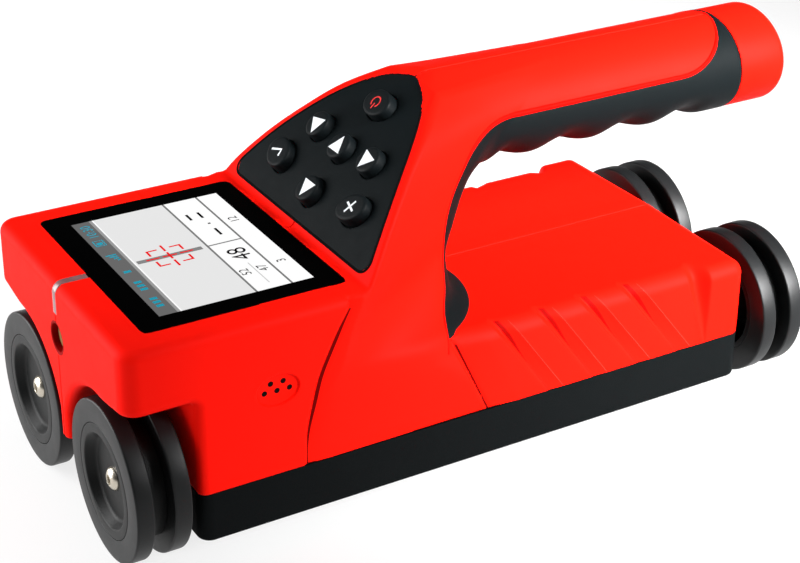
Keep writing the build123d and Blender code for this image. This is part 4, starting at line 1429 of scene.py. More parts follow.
    def build_bead(self) -> None:
        """Red bead along the rubber's edge: a small round section carried along the border."""
        line = self.bead_line()
        out = slope_of(self.form.outer, line, self.bead_nudge)
        out /= np.linalg.norm(out, axis=1, keepdims=True)
        run = np.gradient(line, axis=0)
        run /= np.linalg.norm(run, axis=1, keepdims=True)
        across = np.cross(run, out)
        full = span(line[:, 2], *self.bead_full) * (1 - span(line[:, 2], *self.bead_end))
        size = (self.bead_slim + (self.bead - self.bead_slim) * full)[:, None, None]
        angle = circle(self.bead_around)[None, :, None]
        centre = (line - self.bead_sunk * size[:, 0] * out)[:, None]
        rows = centre + size * (np.cos(angle) * out[:, None] + np.sin(angle) * across[:, None])
        put_mesh("grip_bead", rings(rows), BEAD, Body.CASE.value)

    def build_laser_rim_shade(self) -> None:
        """Rim of the laser hole: a turned ring with rounded lip that lines the hole, painted a darker red as
        the shade in it.
        """
        near, far = self.form.front_x - self.proud, self.form.front_x + self.rim_deep
        hole, edge = self.laser_r, self.laser_r + self.rim_wide
        outline = eased_loop([(near, hole), (near, edge), (far, edge), (far, hole)], self.rim_edge)
        rim = turned(outline, 0.0, self.laser_z, self.rim_steps)
        put_mesh("laser_rim_shade", rim, SOFT_SHADE, Body.CASE.value)

    def build_grille(self) -> None:
        """Sunk oval of the speaker: a rim and floor as oval rings, with five holes in it drawn as shallow
        discs painted near black as their shade.
        """
        side = -self.form.half
        depth = side + np.array([*self.grille_depth, self.grille, self.grille])
        sunk = oval_rings(self.speaker, self.speaker_semi, self.grille_scale, depth, self.grille_steps)
        put_mesh("speaker_grille", sunk, RED, Body.CASE.value)
        low, high = self.hole_rows
        spots = ((-1.0, low), (0.0, low), (1.0, low), (-0.5, high), (0.5, high))
        floor = side + self.grille + np.array(self.hole_depth)
        holes = [oval_rings((self.speaker[0] + self.hole_pitch * along, self.speaker[1] + up), (1.0, 1.0),
                            self.hole_radius, floor, self.hole_steps) for along, up in spots]
        put_mesh("speaker_hole_shades", joined(holes), HOLE_SHADE, Body.CASE.value)

    def build_screw_cups(self) -> None:
        """Wells of the three case screws on the right: tubes whose lips follow the case's skin."""
        angle = circle(self.cup_steps)
        reach = self.screw_r + np.array(self.cup_grow)[:, None]
        floor = np.full((1, len(angle)), self.screw_y)
        cups = []
        for x, z in self.screws:
            px, pz = x + reach * np.cos(angle), z + reach * np.sin(angle)
            lip = -self.form.side_y(px, pz)[1:-1] + np.array(self.cup_lift)[:, None]
            y = np.concatenate([floor, lip, floor])
            cups.append(rings(np.stack([px, y, pz], axis=-1), closed=True))
        put_mesh("screw_cups", joined(cups), RED, Body.CASE.value)

    def strip(self, x: Array, z: Array, wide: Array) -> Surface:
        """Thin strips on both flanks: outer face on the skin, lift outside it, back inside the wall.

        Args:
            x: middle of the strip at each height.
            z: heights.
            wide: half width at each height.

        Returns:
            The left strip and its mirror image.
        """
        px = x[:, None] + wide[:, None] * np.linspace(-1, 1, self.strip_across)
        pz = np.broadcast_to(z[:, None], px.shape)
        y = self.form.side_y(px, pz)
        face = np.stack([px, y - self.lift, pz], axis=-1)
        back = np.stack([px, y + self.strip_back, pz], axis=-1)[:, ::-1]
        left = rings(np.concatenate([face, back], axis=1))
        return left + left.mirrored()

    def build_creases(self) -> None:
        """Painted shade lines along the head's groove and the panel's foot, and on each rib a wedge of
        painted shade and a painted highlight along its ridge.

        A wedge's half width falls to nothing half way down; its ridge runs a steady way behind it.
        """
        f = self.form
        foot = f.split_z + self.crease_foot
        z = np.linspace(foot, f.head_z - self.crease_top, self.groove_steps)
        wide = self.crease * (0.5 + span(z, *self.crease_widen)) * (1 - 0.5 * span(z, *self.crease_end))
        groove = self.strip(f.head_line(z) + self.shade * f.head_sunk(z) + wide, z, wide)
        z = np.linspace(foot, f.deck_z - self.crease_top, self.panel_steps)
        wide = np.full(z.shape, self.crease)
        panel = self.strip(f.leg_line(z) + self.shade * f.leg_sunk(z) + wide, z, wide)
        z = f.split_z + self.rib_foot
        up = np.linspace(0, 1, self.rib_steps)**self.rib_bunch
        z = z + (f.deck_z - self.rib_top - f.split_z) * up
        wide = self.rib_thin + self.rib_gap * span(z, *self.rib_widen)
        thin = np.full(z.shape, self.ridge)
        ribs = f.rib_lines(z)
        wedge_shades = [self.strip(x + self.shade * f.rib_sunk(z) + wide, z, wide) for x in ribs]
        ridge_highlights = [self.strip(x + self.ridge_back, z, thin) for x in ribs]
        # The dark strips are painted shade and the pale strips painted highlight.
        for name, strips, finish in (("crease_shade_lines", [groove, panel], CREASE_SHADE),
                                     ("rib_wedge_shades", wedge_shades, SOFT_SHADE), ("rib_ridge_highlights", ridge_highlights, RIDGE_HIGHLIGHT)):
            put_mesh(name, joined(strips), finish, Body.CASE.value, sharp=self.strip_sharp)

    def build(self) -> None:
        """Make the halves and their trim."""
        self.build_creases()
        for side in Side:
            self.build_half(side)
        self.build_bead()
        self.build_laser_rim_shade()
        self.build_grille()
        self.build_screw_cups()


@dataclass
class GripSleeve:
    """The rubber over the leg's back and the handle's underside."""

    form: CaseForm
    step: float = 0.8
    low: Place = (-24.0, -53.6, 49.8)
    high: Place = (116.2, 53.6, 126.4)
    proud: float = 0.12
    edge: float = 0.5
    border_gap: float = 0.05
    thick: float = 1.9
    lobe_thick: float = 4.0
    lobe_end: Pair = (62.0, 74.0)
    foot_z: float = 50.6

    def distance(self, x: Array, y: Array, z: Array) -> Array:
        """Signed distance: a skin of the handle and leg, inside the rubber's edge.

        Args:
            x, y, z: places.

        Returns:
            The signed distance.
        """
        f = self.form
        skin = f.upper(x, y, z)
        edge = overlap(f.grip_zone(x, z) + self.border_gap, x - f.ring_x, self.foot_z - z)
        thick = self.thick + self.lobe_thick * (1 - span(z, *self.lobe_end))
        return np.maximum(both(skin - self.proud, edge, self.edge), -skin - thick)

    def build(self) -> None:
        """Mesh and dress the sleeve."""
        points, quads = skin_of(self.distance, self.low, self.high, self.step)
        put_mesh("grip_rubber_skin", Surface(points, quads), GRIP, Body.CASE.value, ["grip_sleeve"],
                 form=self.distance)


@dataclass(frozen=True)
class Key:
    """One key: its name, place on the slope, size across and along, and turn."""

    name: str
    u: float
    v: float
    across: float = 9.8
    along: float = 9.8
    turn: float = 0.0


@dataclass
class Keypad:
    """Silicone mat with seven keys and their printed signs."""

    shells: CaseShells
    # Mat, and the gap round it painted dark as shade.
    step: float = 0.6
    low: Place = (-54.0, -49.0, 76.0)
    high: Place = (-1.0, 49.0, 125.6)
    thick: float = 2.0
    proud: float = 0.12
    edge: float = 0.4
    rim: float = 0.9
    rim_top: float = 0.2
    rim_foot: float = -1.0
    rim_edge: float = 0.2
    middle: float = -8.0
    reach: float = 80.0
    rim_steps: int = 360
    hole_gap: float = 0.3
    hole_edge: float = 0.3
    # Keys.
    rise: float = 3.5
    key_inset: Row = (1.2, 1.2, 0.0, 0.0, 0.12, 0.2, 0.42, 0.75, 1.1, 1.45)
    key_height: Row = (-3.8, 0.2, 2.3, 2.75, 3.0, 3.13, 3.18, 3.2)
    stem: Pair = (-4.2, -3.8)
    key_steps: int = 64
    key_sharp: float = 50.0
    # Signs.
    ink: float = 0.015
    stroke: float = 0.75
    arrow: tuple[Pair, ...] = ((3.6, 0.0), (-2.3, -3.3), (-2.3, 3.3))
    arrow_turns: tuple[tuple[str, float], ...] = (
        ("key_up", 180.0), ("key_down", 0.0), ("key_right", 73.0), ("key_left", -73.0))
    tick: tuple[Pair, ...] = ((-0.1, -2.4), (1.7, -0.7), (-2.0, 2.6))
    cross: tuple[Pair, ...] = ((-1.8, -1.8), (1.8, 1.8))
    power_r: float = 1.9
    power_arc: Pair = (215.0, 505.0)
    power_steps: int = 40
    power_stem: tuple[Pair, ...] = ((-2.7, 0.0), (-0.5, 0.0))
    power_stroke: float = 0.5
    keys: tuple[Key, ...] = (
        Key("key_up", -19.7, 0.0), Key("key_down", -2.8, 0.0), Key("key_left", -1.0, -17.0),
        Key("key_right", -1.0, 17.0), Key("key_esc", -16.1, -25.0, 13.0, 10.0, 28.0),
        Key("key_ok", -16.1, 25.0, 13.0, 10.0, -28.0), Key("key_power", 15.8, 0.0, 13.0, 10.0))

    def mat(self, x: Array, y: Array, z: Array) -> Array:
        """The mat: an arched sheet with rounded outline and a hole for each key.

        Args:
            x, y, z: places.

        Returns:
            The signed distance.
        """
        f = self.shells.form
        u, _ = f.slope_frame(x, z)
        top = f.over_slope(x, z)
        sheet = both(self.shells.mat_edge(x, y, z, -self.rim / 2), top - self.proud, self.edge)
        sheet = np.maximum(sheet, -top - self.thick)
        for key in self.keys:
            a, b = spun(u - key.u, y - key.v, -key.turn)
            hole = oval(a, b, key.along / 2 + self.hole_gap, key.across / 2 + self.hole_gap)
            sheet = both(sheet, -hole, self.hole_edge)
        return sheet

    def on_key(self, key: Key, along: Array, across: Array, height: Array | float) -> Array:
        """World places of points given along and across a key, at a height over the arch below it."""
        a, b = spun(along, across, key.turn)
        return self.shells.form.slope_point(key.u + a, key.v + b, self.shells.form.arch(key.u) + height)

    def cap(self, key: Key) -> Surface:
        """A key's skin: oval rings that draw in slightly, then round over to a flat top.

        Args:
            key: which key.

        Returns:
            The skin, with the stem that reaches down to the key's dome.
        """
        inset = np.array(self.key_inset)[:, None]
        foot = self.stem[0] - self.shells.form.arch(key.u)
        height = np.array(self.key_height) * self.rise / self.key_height[-1]
        height = np.concatenate([[foot, self.stem[1]], height])[:, None]
        angle = circle(self.key_steps)
        along, across = (key.along / 2 - inset) * np.cos(angle), (key.across / 2 - inset) * np.sin(angle)
        return rings(self.on_key(key, along, across, height))

    def build_rim(self) -> None:
        """Gap round the mat, painted dark as its shade: a low rounded section carried round the mat's
        outline.

        The outline is where the mat's edge distance is nothing, found by halving along rays.
        """
        f = self.shells.form
        angle = circle(self.rim_steps)
        ray = np.stack([np.cos(angle), np.sin(angle)], axis=1)
        near, far = np.zeros(len(ray)), np.full(len(ray), self.reach)
        for _ in range(HALVINGS):
            reach = (near + far) / 2
            spot = f.slope_point(self.middle + reach * ray[:, 0], reach * ray[:, 1], 0.0)
            inside = self.shells.mat_edge(*spot.T, 0.0) < 0
            near, far = np.where(inside, reach, near), np.where(inside, far, reach)
        line = near[:, None] * ray + (self.middle, 0.0)
        run = np.roll(line, -1, axis=0) - np.roll(line, 1, axis=0)
        run /= np.linalg.norm(run, axis=1, keepdims=True)
        out = np.stack([run[:, 1], -run[:, 0]], axis=1)
        section = eased_loop([(0.0, self.rim_top), (0.0, self.rim_foot), (-self.rim, self.rim_foot),
                              (-self.rim, self.rim_top)], self.rim_edge, 4)
        flat = line[:, None] + section[None, :, :1] * out[:, None]
        rows = f.slope_point(flat[..., 0], flat[..., 1], f.arch(flat[..., 0]) + section[None, :, 1])
        put_mesh("keypad_gap_shade", rings(rows, closed=True), HOLE_SHADE, Body.CASE.value)

    def signs(self) -> dict[str, tuple[Surface, Finish]]:
        """Printed signs in key coordinates: first number along the slope, second across it.

        Returns:
            For each key its flat sign and ink: triangles, a tick, a cross and a power sign.
        """
        made: dict[str, tuple[Surface, Finish]] = {}
        for name, degrees in self.arrow_turns:
            flat = np.stack([*spun(*np.array(self.arrow).T, degrees), np.zeros(3)], axis=1)
            made[name] = (Surface(flat, np.zeros((0, 4), int), [np.arange(3)]), WHITE_INK_GLOW)
        made["key_ok"] = (ribbon(np.array(self.tick), self.stroke), WHITE_INK_GLOW)
        bar = np.array(self.cross)
        made["key_esc"] = (ribbon(bar, self.stroke) + ribbon(bar * (1, -1), self.stroke), WHITE_INK_GLOW)
        angle = np.radians(np.linspace(*self.power_arc, self.power_steps))
        ring = self.power_r * np.stack([np.cos(angle), np.sin(angle)], axis=1)
        stem = np.array(self.power_stem)
        made["key_power"] = (ribbon(ring, self.power_stroke) + ribbon(stem, self.power_stroke), RED_INK_GLOW)
        return made

    def build(self) -> None:
        """Mesh and dress the mat, the keys and the signs."""
        points, quads = skin_of(self.mat, self.low, self.high, self.step)
        put_mesh("keypad_sheet", Surface(points, quads), MAT, Body.CASE.value, ["keypad_mat"], form=self.mat)
        self.build_rim()
        signs = self.signs()
        for key in self.keys:
            put_mesh(f"{key.name}_cap", self.cap(key), KEY, key.name, [key.name], sharp=self.key_sharp)
            sign, ink = signs[key.name]
            placed = self.on_key(key, sign.points[:, 0], sign.points[:, 1], self.rise + self.ink)
            put_mesh(f"{key.name}_sign", Surface(placed, sign.quads, sign.ends), ink, key.name)


@dataclass(frozen=True)
class Figures:
    """Plain figures on the glass: X of their foot, Y of their middle and their height."""

    name: str
    words: str
    x: float
    y: float
    size: float
    finish: Finish


@dataclass
class Display:
    """Display glass with its lit numbers, and the indicator strip on the front edge."""

    shells: CaseShells
    # Glass.
    corner: float = 3.0
    thick: float = 1.6
    proud: float = 0.06
    bevel_inset: Row = (0.0, 0.0, 0.08, 0.22, 0.4)
    bevel_rise: float = 0.045
    lens_steps: int = 96
    lens_sharp: float = 20.0
    # What is lit on it: figures, dashes, battery, signal and blocks.
    mark_rise: float = 0.02
    letter: float = 1.38
    letter_steps: int = 6
    figures: tuple[Figures, ...] = (
        Figures("figures_large", "48", -72.6, -9.6, 6.4, DARK_MARK),
        Figures("figures_high", "52", -78.0, -21.8, 3.2, DARK_MARK),
        Figures("figures_low", "47", -72.0, -21.8, 3.2, DARK_MARK),
        Figures("figures_left", "3", -64.8, -20.0, 3.2, DARK_MARK),
        Figures("figures_right", "12", -64.8, 14.0, 3.2, DARK_MARK),
        Figures("clock", "10:30", -109.0, 27.5, 3.3, BLUE_MARK))
    dashes: tuple[Row, ...] = (
        (-74.5, 8.2, 5.2), (-74.5, 15.0, 0.9), (-78.5, 22.0, 4.6), (-74.5, 22.0, 4.6))
    dash_wide: float = 0.9
    cell_x: Pair = (-112.4, -109.3)
    cell_y: Pair = (16.5, 20.5)
    cell_stroke: float = 0.45
    charge_y: Pair = (17.2, 19.0)
    charge_wide: float = 1.9
    signal_foot: float = -109.2
    signal_y: float = 5.0
    signal_pitch: float = 1.3
    signal_heights: Row = (1.0, 1.8, 2.6, 3.4)
    signal_wide: float = 0.8
    block_x: Pair = (-109.6, -112.0)
    blocks: Row = (-4.0, -12.0, -14.5, -17.0, -24.0, -26.5, -29.0)
    block_wide: float = 1.5
    # Indicator strip.
    strip_half: float = 1.5
    strip_thick: float = 1.5
    strip_edge: float = 0.35
    strip_proud: float = 0.07
    strip_foot: float = 69.0
    strip_start: float = -122.45
    strip_bend: int = 16

    def build_lens(self) -> None:
        """The glass: a rounded rectangle carried up its thickness with a small bevel on top."""
        front, rear = self.shells.lens_x
        angle = circle(self.lens_steps)
        height = np.array([-self.thick, 0.0, self.bevel_rise, self.proud, self.proud])
        radius = self.corner - np.array(self.bevel_inset)[:, None]
        sx, sy = np.sign(np.cos(angle)), np.sign(np.sin(angle))
        x = (front + rear) / 2 + sx * ((rear - front) / 2 - self.corner) + radius * np.cos(angle)
        y = sy * (self.shells.lens_half - self.corner) + radius * np.sin(angle)
        z = np.broadcast_to(self.shells.form.head_z + height[:, None], x.shape)
        put_mesh("display_glass", rings(np.stack([x, y, z], axis=-1)), GLASS, Body.CASE.value,
                 ["display_lens"], sharp=self.lens_sharp)

    def mark_z(self) -> float:
        """Height of what is lit on the glass."""
        return self.shells.form.head_z + self.proud + self.mark_rise

    def write(self, figures: Figures) -> None:
        """Put figures on the glass, read along Y with their tops towards the front.

        Args:
            figures: what to write and where.
        """
        curve = bpy.data.curves.new(figures.name, "FONT")
        curve.body = figures.words
        curve.align_x = "CENTER"
        curve.resolution_u = self.letter_steps
        holder = bpy.data.objects.new(f"{figures.name}_curve", curve)
        flat = bpy.data.meshes.new_from_object(holder)
        place = np.empty(3 * len(flat.vertices))
        flat.vertices.foreach_get("co", place)
        place = place.reshape(-1, 3) * figures.size * self.letter
        height = np.full(len(place), self.mark_z())
        spots = np.stack([figures.x - place[:, 1], figures.y + place[:, 0], height], axis=1)
        ends = [np.array(face.vertices) for face in flat.polygons]
        bpy.data.objects.remove(holder)
        bpy.data.curves.remove(curve)
        bpy.data.meshes.remove(flat)
        lit = Surface(spots, np.zeros((0, 4), int), ends)
        put_mesh(figures.name, lit, figures.finish, Body.CASE.value, turn=False)

    def lay_strokes(self, name: str, strokes: Sequence[tuple[Sequence[Pair], float]],
                    finish: Finish) -> None:
        """Lay flat strokes on the glass as one piece.

        Args:
            name: the piece's name.
            strokes: for each the points of its path and its width.
            finish: their colour.
        """
        flat = joined([ribbon(np.array(path), wide) for path, wide in strokes])
        flat.points[:, 2] = self.mark_z()
        put_mesh(name, flat, finish, Body.CASE.value, turn=False)

    def build_marks(self) -> None:
        """Figures in the rows, and battery and signal signs in the top bar."""
        for figures in self.figures:
            self.write(figures)
        self.lay_strokes("dashes", [(((x, y - long / 2), (x, y + long / 2)), self.dash_wide)
                                    for x, y, long in self.dashes], DARK_MARK)
        (x0, x1), (y0, y1) = self.cell_x, self.cell_y
        middle = (x0 + x1) / 2
        signs = [(((x0, y0), (x0, y1), (x1, y1), (x1, y0), (x0, y0)), self.cell_stroke),
                 (tuple((middle, y) for y in self.charge_y), self.charge_wide)]
        for i, tall in enumerate(self.signal_heights):
            y = self.signal_y + self.signal_pitch * i
            signs.append((((self.signal_foot, y), (self.signal_foot - tall, y)), self.signal_wide))
        signs += [(tuple((x, y) for x in self.block_x), self.block_wide) for y in self.blocks]
        self.lay_strokes("bar_signs", signs, BLUE_MARK)

    def build_strip(self) -> None:
        """Indicator strip: a flat rounded section carried along the top, over the edge and down."""
        f = self.shells.form
        bend = np.radians(np.linspace(0, 90, self.strip_bend))
        out = np.stack([-np.sin(bend), np.cos(bend)], axis=1)
        arc = (f.front_x + f.head_edge, f.head_z - f.head_edge) + (f.head_edge + self.strip_proud) * out
        start = (self.strip_start, f.head_z + self.strip_proud)
        path = np.concatenate([[start], arc, [(f.front_x - self.strip_proud, self.strip_foot)]])
        out = np.concatenate([out[:1], out, out[-1:]])
        half, foot = self.strip_half, -self.strip_thick
        section = eased_loop([(-half, 0.0), (half, 0.0), (half, foot), (-half, foot)], self.strip_edge, 4)
        x = path[:, :1] + out[:, :1] * section[:, 1]
        z = path[:, 1:] + out[:, 1:] * section[:, 1]
        y = np.broadcast_to(section[:, 0], x.shape)
        put_mesh("indicator_strip", rings(np.stack([x, y, z], axis=-1)), CLEAR, Body.CASE.value,
                 ["light_guide"])

    def build(self) -> None:
        """Make the glass, its figures and the strip."""
        self.build_lens()
        self.build_marks()
        self.build_strip()


@dataclass
class WheelSet:
    """One axle's two wheels: hubs, twin tyre discs and their screws.

    Each end has its name, the X of its outer face and the direction inwards.
    """

    side: Side
    ends: tuple[tuple[str, float, int], ...] = (("front", -132.9, 1), ("rear", 121.0, -1))
    # Tyre discs.
    radius: float = AXLE_Z
    disc: float = 5.8
    groove: float = 6.2
    bore: float = 18.5
    tyre_gap: float = 0.08
    tyre_ease: Row = (0.25, 0.75, 0.75, 0.25)
    # Hub.
    rib: float = 20.0
    dish: float = 15.4
    floor: float = 13.2
    depth: float = 3.2
    web: float = 3.0
    rim: float = 2.0
    boss: float = 9.0
    axle: float = 4.08
    axle_stop: float = 7.0
    hub_ease: Row = (0.05, 1.1, 0.45, 0.4, 0.1, 0.2, 0.2, 0.1, 0.3, 0.4, 0.8, 0.8, 0.4, 0.2, 0.1, 0.05)
    # Screw.
    screw: float = 2.3
    shank: float = 2.0
    shank_long: float = 12.0
    head: float = 3.8
    head_h: float = 1.7
    head_arc: Pair = (8.0, 62.0)
    seat: float = 0.02
    hexagon: float = 1.5
    hexagon_edge: float = 0.12
    hexagon_floor: Pair = (0.9, 0.7)
    hexagon_point: float = 0.02
    dome_steps: int = 9
    screw_steps: int = 72
    screw_sharp: float = 40.0

    def turn(self, stations: Sequence[Pair], ease: Sequence[float], outer: float, reach: int) -> Surface:
        """Turn a closed outline given from the wheel's outer face inwards."""
        outline = eased_loop(stations, ease) * (reach, 1) + (outer, 0)
        return turned(outline, self.side.value * AXLE_Y, AXLE_Z)

    def build_wheel(self, end: str, outer: float, reach: int) -> None:
        """One hub and its two tyre discs: closed outlines of depth and radius, turned round the axle.

        Args:
            end: name of the wheel's end.
            outer: X of its outer face.
            reach: direction inwards.
        """
        body, name = f"wheels_{self.side.word}", f"{end}_{self.side.word}"
        second, width = self.disc + self.groove, 2 * self.disc + self.groove
        edge, rim, back = self.bore - self.tyre_gap, self.bore - self.rim, self.depth + self.web
        hub = ((self.depth, self.screw), (self.depth, self.floor), (0.0, self.dish), (0.0, edge),
               (self.disc, edge), (self.disc, self.rib), (second, self.rib), (second, edge), (width, edge),
               (width, rim), (back, rim), (back, self.boss), (width, self.boss), (width, self.axle),
               (self.axle_stop, self.axle), (self.axle_stop, self.screw))
        put_mesh(f"hub_{name}_turned", self.turn(hub, self.hub_ease, outer, reach), HUB, body,
                 [f"hub_{name}"])
        for part, first in (("outer", 0.0), ("inner", second)):
            last = first + self.disc
            tyre = ((first, self.bore), (first, self.radius), (last, self.radius), (last, self.bore))
            put_mesh(f"tyre_{name}_{part}_turned", self.turn(tyre, self.tyre_ease, outer, reach), TYRE, body,
                     [f"tyre_{name}_{part}"])

    def screw_skin(self, outer: float, reach: int) -> Surface:
        """Button head: a dome of rings whose inmost ring becomes a hexagon that sinks into the head.

        Args:
            outer: X of the wheel's outer face.
            reach: direction inwards.

        Returns:
            The skin of head and shank.
        """
        angle = circle(self.screw_steps)
        arc = np.radians(np.linspace(*self.head_arc, self.dome_steps))
        low, high = np.sin(arc[0]), np.sin(arc[-1])
        dome = self.head * np.cos(arc) / np.cos(arc[0])
        dome = np.concatenate([[self.shank, self.shank, self.head], dome])
        hexed = self.hexagon / np.cos((angle + np.pi / 6) % (np.pi / 3) - np.pi / 6)
        radius = np.concatenate([np.broadcast_to(dome[:, None], (len(dome), len(angle))),
                                 [hexed + self.hexagon_edge, hexed, hexed, hexed * self.hexagon_point]])
        height = np.concatenate([
            [-self.shank_long, 0.0, 0.0], self.head_h * (np.sin(arc) - low) / (high - low) + self.seat,
            [self.head_h + self.seat, self.head_h - self.hexagon_edge, *self.hexagon_floor]])
        x = np.broadcast_to((outer + reach * (self.depth - height))[:, None], radius.shape)
        y = self.side.value * AXLE_Y + radius * np.cos(angle)
        return rings(np.stack([x, y, AXLE_Z + radius * np.sin(angle)], axis=-1))

    def build(self) -> None:
        """Make both wheels and the screws."""
        for end in self.ends:
            self.build_wheel(*end)
        screws = joined([self.screw_skin(outer, reach) for _, outer, reach in self.ends])
        put_mesh(f"screws_{self.side.word}_turned", screws, SCREW, f"wheels_{self.side.word}",
                 [f"wheel_screws_{self.side.word}"], sharp=self.screw_sharp)


@dataclass
class BatteryCap:
    """The pull-off cap at the end of the handle, with the spigot that enters the bore."""

    shells: CaseShells
    gap: float = 0.2
    end: float = 135.9
    ease: float = 3.6
    ease_steps: int = 12
    around: int = 128
    lip: float = 0.5
    lip_ease: Pair = (0.15, 0.12)
    crown: Pair = (9.0, 5.5)
    point: float = 0.01
    spigot_gap: float = 0.3
    spigot_x: float = 108.8
    spigot_ease: float = 0.3
    spigot_wall: float = 1.8
    seal_x: Pair = (111.0, 112.6)
    seal: float = 1.0
    floor_x: float = 131.1

    def build(self) -> None:
        """Carry an oval along X: in through the bore, along the spigot, out to the rim and round the end.

        The spigot's and the rim's tables have X and how far the oval is drawn in.
        """
        f, start = self.shells.form, self.shells.form.ring_x + self.gap
        bend = np.radians(np.linspace(0, 90, self.ease_steps))
        (near, far), wall, ease = self.seal_x, self.spigot_wall, self.spigot_ease
        spigot = [(self.floor_x, wall), (self.spigot_x, wall), (self.spigot_x, ease),
                  (self.spigot_x + ease, 0.0), (near, 0.0), (near, self.seal), (far, self.seal), (far, 0.0),
                  (start, 0.0)]
        rim = [(start, self.lip), (start + self.lip_ease[0], self.lip_ease[1]), (start + self.lip, 0.0),
               *zip(self.end - self.ease + self.ease * np.sin(bend), self.ease * (1 - np.cos(bend)))]
        sy, sz = (semi - self.spigot_gap for semi in self.shells.bore)
        table = [(x, sy - i, sz - i, self.shells.bore_z) for x, i in spigot]
        table += [(x, f.handle_y - i, f.handle_r - i, f.handle_z) for x, i in rim]
        table += [(self.end, *semi, f.handle_z) for semi in (self.crown, (self.point, self.point))]
        angle = circle(self.around)
        station, semi_y, semi_z, middle = np.array(table).T[:, :, None]
        y, z = semi_y * np.cos(angle), middle + semi_z * np.sin(angle)
        skin = rings(np.stack([np.broadcast_to(station, y.shape), y, z], axis=-1))
        put_mesh("battery_cap_skin", skin, RED, Body.CAP.value, ["battery_cap"])


@dataclass
class Insides:
    """Nodes of the solids that keep their own shape and get a finish each."""

    finishes: tuple[Finish, ...] = (
        RED, TRAY, GRIP, HUB, TYRE, AXLE, SCREW, ENCODER, BOARD, FORMER, COPPER, FERRITE, GLASS, PANEL,
        CLEAR, BRASS, MAT, KEY, SEAL, CELL)
    smooth: float = 30.0
    weld: float = 1e-6

    def smoother(self) -> bpy.types.NodeTree:
        """Node group that joins loose triangles and shades them smooth up to an angle.

        Returns:
            The group, for a modifier.
        """
        group = bpy.data.node_groups.new("shade_smooth", "GeometryNodeTree")
        group.interface.new_socket("Geometry", in_out="INPUT", socket_type="NodeSocketGeometry")
        group.interface.new_socket("Geometry", in_out="OUTPUT", socket_type="NodeSocketGeometry")
        kinds = ("NodeGroupInput", "GeometryNodeMergeByDistance", "GeometryNodeSetShadeSmooth",
                 "GeometryNodeSetShadeSmooth", "NodeGroupOutput", "GeometryNodeInputMeshEdgeAngle",
                 "FunctionNodeCompare")
        start, merge, faces, edges, end, angle, limit = (group.nodes.new(kind) for kind in kinds)
        merge.inputs["Distance"].default_value = self.weld
        edges.domain = "EDGE"
        limit.operation = "LESS_EQUAL"
        limit.inputs[1].default_value = np.radians(self.smooth)
        for a, b in ((start.outputs[0], merge.inputs["Geometry"]),
                     (merge.outputs[0], faces.inputs["Geometry"]),
                     (faces.outputs[0], edges.inputs["Geometry"]), (angle.outputs[0], limit.inputs[0]),
                     (limit.outputs[0], edges.inputs["Shade Smooth"]), (edges.outputs[0], end.inputs[0])):
            group.links.new(a, b)
        return group

    def build(self) -> None:
        """Give every node of the solids its slot's finish."""
        by_slot = {finish.slot.value: finish for finish in self.finishes}
        group = self.smoother()
        for row in frame["record"]["subparts"]:
            node = frame["nodes"][row["node"]]
            finish = by_slot[row["material_slot"]]
            for place in node.material_slots:
                place.link = "OBJECT"
                place.material = finish.material()
            node.modifiers.new("shade_smooth", "NODES").node_group = group
            log.info("%s: %s", row["node"], finish.slot.value)


@dataclass(frozen=True)
class SoftLight:
    """A square soft light: its place and aim, side in mm, power in watts and beam angle in degrees."""

    name: str
    place: Place
    aim: Place
    size: float
    power: float
    spread: float = 180.0

    def build(self) -> None:
        """Hang the light."""
        data = bpy.data.lights.new(self.name, "AREA")
        data.size, data.energy, data.spread = self.size * MM, self.power, np.radians(self.spread)
        lamp = bpy.data.objects.new(self.name, data)
        lamp.location = Vector(self.place) * MM
        lamp.rotation_euler = (Vector(self.aim) - Vector(self.place)).to_track_quat("-Z", "Y").to_euler()
        bpy.context.scene.collection.objects.link(lamp)


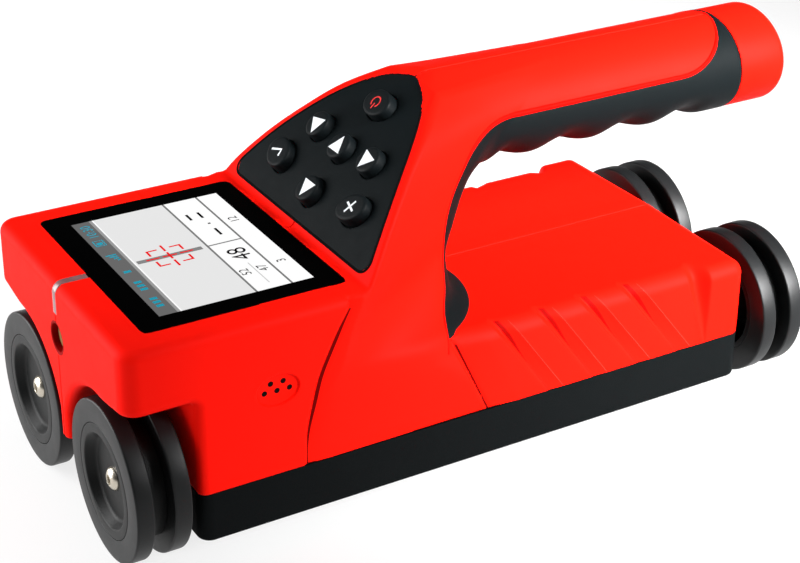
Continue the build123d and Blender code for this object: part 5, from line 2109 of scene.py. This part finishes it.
@dataclass
class Studio:
    """Pale floor, soft lights and the camera at the photograph's angle."""

    eye: Place = (-298.3, -489.9, 344.1)
    ahead: Place = (0.4786, 0.7708, -0.4204)
    right: Place = (0.8536, -0.5206, 0.0173)
    lens: float = 84.42
    sensor: float = 36.0
    shift: Pair = (-0.0563, -0.1067)
    floor: float = 12000.0
    floor_tones: Pair = (0.2, 0.22)
    floor_cloud: float = 400.0
    floor_glow: float = 0.8
    floor_rough: float = 0.9
    floor_specular: float = 0.05
    sky: float = 0.07
    lights: tuple[SoftLight, ...] = (
        SoftLight("front_light", (-450, 250, 150), (-120, 0, 60), 400, 4.2),
        SoftLight("rear_light", (350, -400, 350), (170, 0, 105), 360, 2.7, 38.0),
        SoftLight("top_light", (60, -60, 1000), (60, 0, 50), 1500, 4.5))

    def build_camera(self) -> None:
        """Camera at eye, looking along ahead, its right side as near right as a square frame allows."""
        data = bpy.data.cameras.new("camera")
        data.lens, data.sensor_width = self.lens, self.sensor
        data.shift_x, data.shift_y = self.shift
        camera = bpy.data.objects.new("camera", data)
        back = -Vector(self.ahead).normalized()
        right = Vector(self.right)
        right = (right - back * right.dot(back)).normalized()
        turn = Matrix((right, back.cross(right), back)).transposed()
        place = (Vector(self.eye) - Vector((CENTRE, 0, 0))) * MM
        camera.matrix_world = Matrix.Translation(place) @ turn.to_4x4()
        bpy.context.scene.collection.objects.link(camera)
        bpy.context.scene.camera = camera

    def build_floor(self) -> None:
        """Wide pale floor that glows a little, as a sheet lit from behind."""
        rim = self.floor * MM
        mesh = bpy.data.meshes.new("floor")
        corners = [(-rim, -rim, 0), (rim, -rim, 0), (rim, rim, 0), (-rim, rim, 0)]
        mesh.from_pydata(corners, [], [(0, 1, 2, 3)])
        floor = bpy.data.objects.new("floor", mesh)
        bpy.context.scene.collection.objects.link(floor)
        shade = Shade("floor_pale")
        dark, pale = ((tone, tone, tone) for tone in self.floor_tones)
        mesh.materials.append(shade.finished({
            "Base Color": shade.blend(dark, pale, shade.noise(self.floor_cloud)),
            "Roughness": self.floor_rough, "Specular IOR Level": self.floor_specular,
            "Emission Color": (1.0, 1.0, 1.0, 1.0), "Emission Strength": self.floor_glow}))

    def build(self) -> None:
        """Make the floor, the world, the lights and the camera."""
        self.build_floor()
        world = bpy.data.worlds.new("studio")
        world.use_nodes = True
        sky = world.node_tree.nodes["Background"]
        sky.inputs["Color"].default_value = (1.0, 1.0, 1.0, 1.0)
        sky.inputs["Strength"].default_value = self.sky
        bpy.context.scene.world = world
        for light in self.lights:
            light.build()
        bpy.context.scene.view_settings.view_transform = "Standard"
        self.build_camera()


def main() -> None:
    """Build every sub-assembly in order."""
    logging.basicConfig(level=logging.INFO, format="%(message)s")
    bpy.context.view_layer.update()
    form = CaseForm()
    shells = CaseShells(form)
    for assembly in (Insides(), Studio(), Display(shells), WheelSet(Side.LEFT), WheelSet(Side.RIGHT),
                     BatteryCap(shells), Keypad(shells), GripSleeve(form), shells):
        assembly.build()


if __name__ == "__main__":
    main()
